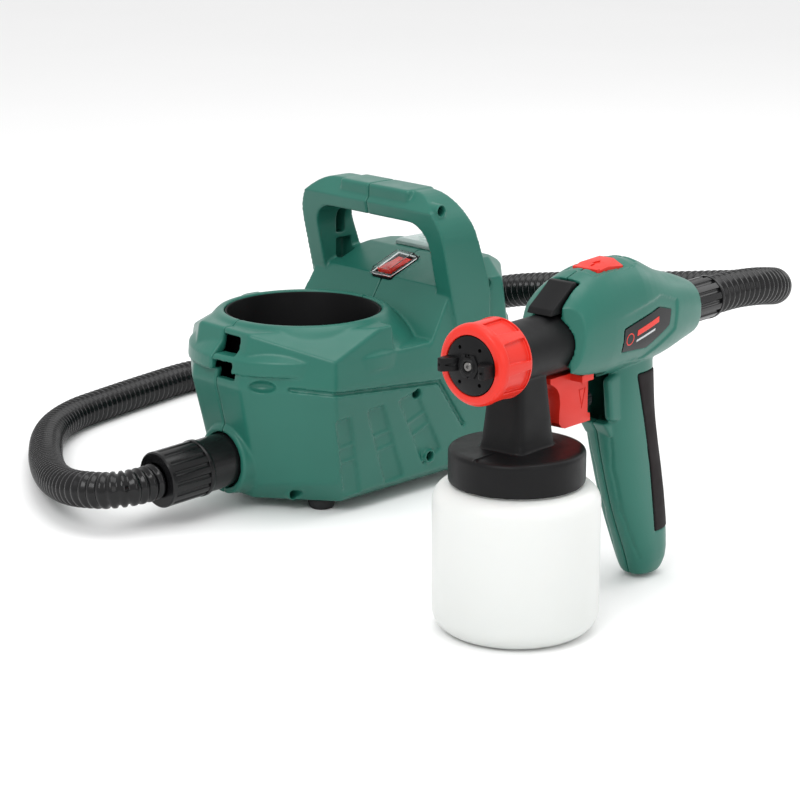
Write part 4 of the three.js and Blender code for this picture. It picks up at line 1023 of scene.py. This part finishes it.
def gun_shells():
    outer = joined(gun_head(0), gun_handle(0))
    lip = plate("xz", [(77.5, 119.6), (100, 119.6), (100, 104), (86, 108)], -11, 11)
    cowl = plate("xz", [(76, 150), (79.5, 122), (96, 118), (100, 158)], -14.6, 14.6)
    joined(outer, soften(lip, 1.5), soften(cowl, 2.5))
    shave(outer, *both_sides((36, -25, 196), (-0.86, -0.5, 0.1)))
    inner_head = shave(gun_head(3), ((39, 0, 0), (-1, 0, 0)), ((163, 0, 0), (1, 0, 0)))
    inner_handle = shave(gun_handle(3.2), ((0, 0, 9), (0, 0, -1)))
    cut(outer, inner_head, inner_handle)
    joined(outer, *[rod("y", (x, -12.5, z), 25, 5, sides=32) for x, z in GUN_SCREWS])
    cut(outer,
        rod("x", (20, 0, AXIS), 19.5, 19.9),
        rod("x", (150, 0, AXIS), 40, 14.4),
        rod("y", (50, -20, 200), 40, 2.4, sides=32),
        block((20, -18, 138), (68, 18, 168)),
        block((20, -9.1, 120), (92, 9.1, 168)),
        plate("xz", [(18, 199), (33, 199), (50.5, 213), (46.5, 224), (18, 230)], -10.6, 10.6),
        plate("xy", grown(BUTTON_OUTLINE, 0.5), 212.4, 240),
        cut(plate("xz", grown(BADGE_OUTLINE, 0.25), -40, 40), gun_head(2.3)),
        cut(plate("xz", BADGE_FRAME, -40, 40), gun_head(1.2, fading=True)),
        cut(plate("xz", grown(GRIP_OUTLINE, 0.3), -40, 40), gun_handle(2.3)),
        cut(plate("xy", BUTTON_LEVEL, 200, 240), gun_head(1.3)),
        seam_lines())
    cut(outer, *[rod("y", (x, GUN_SCREW_HEAD, z), 30, 3.5, sides=32) for x, z in GUN_SCREWS],
        *[rod("y", (x, -9, z), 30, 1.7, sides=24) for x, z in GUN_SCREWS])
    for side, way in (("near", 1), ("far", -1)):
        half = shave(twin(outer), ((0, -0.15 * way, 0), (0, way, 0)))
        moulding(half, 0.8, 5, 0.4)
        settle(half, f"gun_half_{side}", GUN, GREEN, "gun", f"gun_shell_{side}",
               slot="green_plastic", angle=50)
    bpy.data.objects.remove(outer)


def gun_grip():
    """The rubber round the back of the handle, with low waves across it."""
    pad = kept(gun_handle(-0.45), plate("xz", GRIP_OUTLINE, -40, 40))
    cut(pad, gun_handle(2.0))
    tools = []
    for i in range(6):
        z = 50 + i * 16.5
        rear = 149 - 12 * (z - 60) / 52 if z < 112 else 137 - 4 * (z - 112) / 28
        tools.append(rod("y", (rear + 7.8, -30, z), 60, 9, sides=40))
    cut(pad, *tools)
    moulding(pad, 0.7, 3, 0.4)
    settle(pad, "gun_grip_rubber", GUN, RUBBER, "gun", "grip_pad", slot="grip_rubber", angle=50)


def gun_badges():
    """Plain glossy plates, with a printed ring and two bars in place of words."""
    for side, low, high in (("near", -40, -5), ("far", 5, 40)):
        plain = kept(gun_head(0.8, fading=True), plate("xz", BADGE_OUTLINE, low, high))
        cut(plain, gun_head(2.2))
        settle(plain, f"badge_plate_{side}", GUN, PRINT, "gun", f"badge_{side}",
               slot="badge_black", angle=35)
        deep = high - low
        ring = cut(rod("y", (80.5, low, 178.6), deep, 4.1), rod("y", (80.5, low - 1, 178.6), deep + 2, 3.4))
        upper = plate("xz", [(88, 179.4), (112, 184.6), (112, 188.4), (88, 183.2)], low, high)
        lower = plate("xz", [(88, 175.4), (108, 179.7), (108, 181.2), (88, 176.9)], low, high)
        for name, tool, made in (("ring", joined(ring, upper), RED), ("bar", lower, BADGE_GREY)):
            print_layer = cut(kept(gun_head(0.65, fading=True), tool), gun_head(1.0, fading=True))
            settle(print_layer, f"badge_{name}_{side}", GUN, made, "gun", slot="badge_black", angle=35)


def barrel():
    """The black barrel, its neck, and the lid that the cup screws into, in one piece."""
    rings = [(19.2, -36), (19.8, -35.4)]
    for i in range(4):
        x = -34 + i * 4.4
        rings += [(19.8, x), (21, x + 1), (21, x + 1.8), (19.8, x + 2.8)]
    tube = turned([(0, -36), *rings, (20.2, -14.5), (19.6, -12), (19.5, 0), (19.5, 44), (18.5, 45), (11, 46),
                   (11, 104), (10, 105), (0, 105)], axis="x", at=(0, 0, AXIS))
    neck = loft("z", [(112, 0, 0, 20.5, 18.5), (121, 0, 0, 19.4, 17.4), (126, 0, 0, 18.4, 16.4),
                      (169, 0, 0, 14, 13), (178, 0, 0, 13.8, 12.8)], square=7, sides=96)
    lid = turned([(0, 121.4), (39.5, 120.2), (42.4, 119.4), (43.5, 117.8), (43.5, 99.4), (42.9, 98.2),
                  (40.9, 98.2), (40.8, 118.3), (0, 118.3)])
    rib = block((-43, -0.5, 119.5), (-18, 0.5, 120.9))
    joined(tube, neck, lid, rib)
    cut(tube, rod("x", (-40, 0, AXIS), 32, 10.2), rod("x", (-20, 0, AXIS), 130, 3.2, sides=32),
        rod("z", (0, 0, 100), 81, 4.6, sides=32))
    moulding(tube, 0.8, 3, 0.45)
    settle(tube, "barrel_and_lid", GUN, BLACK, "gun", "barrel_body", slot="black_plastic", angle=50)

    tab = soften(plate("xz", [(20, 201.2), (31, 201.5), (48, 214.5), (45.2, 219.4), (42, 219), (38.5, 216),
                              (22, 204.8)], -9.8, 9.8), 0.7)
    settle(tab, "top_tab", GUN, BLACK, "gun", "lock_tab", slot="black_plastic")


def nozzle_and_cap():
    tip = turned([(1.1, -49.6), (2.6, -49.6), (3.0, -49.2), (3.1, -45.5), (6.2, -41.5), (6.4, -37.5),
                  (9.2, -37), (9.6, -36.4), (9.6, -30), (8.4, -29.2), (8.4, -16), (2.4, -16), (2.4, -44),
                  (1.1, -47)],
                 axis="x", at=(0, 0, AXIS), steps=72, closed=True)
    settle(tip, "paint_nozzle", GUN, NOZZLE_METAL, "gun", "fluid_nozzle", slot="brass", angle=30)

    disc = turned([(3.4, -49.8), (4.6, -50.2), (5.4, -49.4), (5.6, -48.2), (8.8, -47.9), (17.6, -47.2),
                   (18.5, -46.6), (18.7, -45.6), (18.7, -43.2), (20.8, -42.8), (21, -42.2),
                   (21, -40.6), (20.6, -40.2), (7.2, -40.2), (3.4, -45.2)],
                  axis="x", at=(0, 0, AXIS), steps=96, closed=True)
    boss = rod("x", (-49.3, 0, AXIS), 6, 8.4, sides=6)
    cut(boss, rod("x", (-52, 0, AXIS), 14, 4.2, sides=48))
    joined(disc, soften(boss, 0.4))
    for way in (-1, 1):
        horn = plate("xy", [(-44, 8.5 * way), (-44, 18.3 * way), (-56.2, 18.3 * way), (-57, 17.2 * way),
                            (-57, 14.6 * way), (-51.4, 10 * way), (-48, 8.5 * way)], AXIS - 4.2, AXIS + 4.2)
        soften(horn, 0.6)
        cut(horn, placed(rod("x", (-8, 0, 0), 16, 0.9, sides=20),
                         Matrix.Translation((-54, 13 * way, AXIS)) @ Matrix.Rotation(-0.9 * way, 4, "Z")))
        joined(disc, horn)
    cut(disc, *[rod("x", (-52, 13.4 * math.cos(a), AXIS + 13.4 * math.sin(a)), 14, 1.25, sides=20)
                for a in (0.95, math.pi - 0.95, math.pi + 0.95, -0.95)],
        *[rod("x", (-52, 6.9 * y, AXIS + 6.9 * z), 14, 0.7, sides=16) for y, z in ((0, 1), (0, -1))])
    cut(disc, block((-58, -2.2, AXIS + 5.6), (-48.5, 2.2, AXIS + 7.4)))
    settle(disc, "air_cap_disc", GUN, BLACK, "cap", "air_cap", slot="black_plastic", angle=30)


def collar():
    """The red ring that holds the air cap, with pockets for the fingers."""
    ring = turned([(19.1, -46.6), (19.6, -47), (22.4, -46.9), (24.4, -45.9), (25.7, -44), (26, -42),
                   (26, -20), (25.4, -18.2), (24, -17), (21.4, -17), (21.4, -40), (21.2, -42.9), (19.1, -43)],
                  axis="x", at=(0, 0, AXIS), steps=120, closed=True)
    pockets = []
    for i in range(8):
        a = 2 * math.pi * (i + 0.5) / 8
        tool = cut(plate("xy", [(-40.5, -6.2), (-20, -7.2), (-20, 7.2), (-40.5, 6.2)], 20, 30),
                   rod("x", (-60, 0, 0), 60, 24.1))
        pockets.append(placed(tool, Matrix.Translation((0, 0, AXIS)) @ Matrix.Rotation(a, 4, "X")))
    cut(ring, *pockets)
    moulding(ring, 0.4, 2, 0.3)
    settle(ring, "cap_collar", GUN, RED, "ring", "cap_ring", slot="red_plastic", angle=50)


def trigger():
    """The red trigger, its two arms, and the plus sign and wedge moulded in its sides."""
    curve = [(39.5, 124.6), (36, 125.6), (33, 129), (33.2, 135), (33.9, 142), (33, 148), (30.5, 152.2),
             (27, 154.8), (23.6, 156.6), (23.4, 160)]
    blade = plate("xz", [(66, 124.5), *curve, (58, 160), (63, 157), (63, 130.4), (65.5, 129.6)], -7.5, 7.5)
    hollow = block((44, -5, 132), (66, 5, 152))
    cut(blade, hollow)
    bridge = block((44, -17, 155.4), (56, 17, 159.8))
    arms = [plate("xz", [(46, 155.5), (55.4, 155.5), (55.4, 199), (53, 204), (47, 204), (46, 202)], low, high)
            for low, high in ((-17, -13.5), (13.5, 17))]
    joined(blade, bridge, *arms)
    soften(blade, 0.9, 3, 35)
    marks = []
    for way in (-1, 1):
        low, high = sorted((7.1 * way, 9 * way))
        marks += [block((53.4, low, 152.6), (59.4, high, 153.5)), block((56, low, 150.2), (56.9, high, 156)),
                  cut(plate("xz", [(52.6, 148), (60.4, 148), (56.5, 134)], low, high),
                      plate("xz", [(53.9, 147.1), (59.1, 147.1), (56.5, 137.4)], low - 1, high + 1))]
    cut(blade, *marks, rod("y", (50, -20, 200), 40, 2.35, sides=32))
    settle(blade, "trigger_lever", GUN, RED, "gun_trigger", "trigger", slot="red_plastic", angle=35)

    wheel = turned([(0, 63.4), (6, 63.4), (7.3, 64.2), (7.3, 68), (6.3, 68.9), (3, 68.9), (2.6, 68), (0, 68)],
                   axis="x", at=(0, 0, 138), steps=72)
    teeth = [rod("x", (62, 7.9 * math.cos(a), 138 + 7.9 * math.sin(a)), 9, 1.0, sides=12)
             for a in [2 * math.pi * i / 18 for i in range(18)]]
    cut(wheel, cluster(teeth))
    joined(wheel, rod("x", (53.4, 0, 138), 11, 2, sides=32))
    settle(wheel, "flow_knob", GUN, BLACK, "wheel", "flow_wheel", slot="black_plastic", angle=35)


def top_button():
    """The red button on top, with a raised front edge and an arrow."""
    slope = 0.21
    key = shave(plate("xy", BUTTON_OUTLINE, 213, 236), ((67, 0, 222.4), (-slope, 0, 1)),
                *[((78, 11.2 * way, 224.4), (0, 0.5 * way, 1)) for way in (-1, 1)])
    edge = shave(plate("xy", [(67, -9.7), (69.4, -10.1), (69.4, 10.1), (67, 9.7)], 218, 236),
                 ((67, 0, 223.6), (-slope, 0, 1)))
    joined(key, edge)
    soften(key, 0.7, 3)
    joined(key, rod("z", (78.5, 0, 194.5), 20, 3, sides=32))
    mark = plate("xy", [(-5, -1), (0, -1), (0, -3.4), (5.2, 0), (0, 3.4), (0, 1), (-5, 1)], -0.7, 6)
    placed(mark, Matrix.Translation((78.5, 0, 224.8)) @ Matrix.Rotation(-math.atan(slope), 4, "Y"))
    cut(key, mark)
    settle(key, "top_button_key", GUN, RED, "button", "lock_button", slot="red_plastic", angle=35)


def cup():
    """The milky paint cup, its neck up inside the lid."""
    outside = [(0, 1.6), (32, 1.6), (34, 1.0), (35, 0.2), (37.5, 0), *arc((38.5, 15), 15, -90, 0, 10),
               (53.5, 50), *arc((41.5, 85), 12, 0, 84), (40.6, 97.4), (40.4, 98.4), (40.4, 115.6),
               (40, 116.1)]
    inside = [(38.9, 116.1), (38.6, 115.6), (38.6, 97), (39.4, 96.1), *arc((41.5, 84.8), 10.2, 84, 0),
              (51.7, 50), *arc((38.5, 15), 13.2, 0, -90, 10), (34, 2.2), (32, 3.4), (0, 3.4)]
    settle(turned([*outside, *inside], steps=128), "paint_cup_milky", GUN, MILKY, "paint_cup", "cup",
           slot="milky_plastic", angle=35)


# ---- CAD nodes that keep their shape

INSIDE = {
    "outlet_duct": GREY, "fan_housing": GREY, "fan_cover": GREY, "impeller": GREY, "check_valve": GREY,
    "motor_mount": FOOT_RUBBER, "lid_gasket": FOOT_RUBBER, "motor_can": STEEL, "bearing_lower": STEEL,
    "bearing_upper": STEEL, "motor_shaft": STEEL, "armature": COPPER, "brush_far": FOAM, "brush_near": FOAM,
    "filter_pad": FOAM, "needle_packing": FOAM, "needle": STEEL, "needle_spring": STEEL, "trigger_pin": STEEL,
    "hose_inlet": BLACK, "pickup_tube": MILKY,
}


def finish_inside():
    for name, made in INSIDE.items():
        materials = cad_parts[name].data.materials
        materials.clear()
        materials.append(made)


# ---- making everything

studio()
hose()
unit_shells()
cup_holder()
switch()
filter_lid()
feet()
screws()
gland()
unit_cuff()
gun_cuff()
gun_shells()
gun_grip()
gun_badges()
barrel()
nozzle_and_cap()
collar()
trigger()
top_button()
cup()
finish_inside()
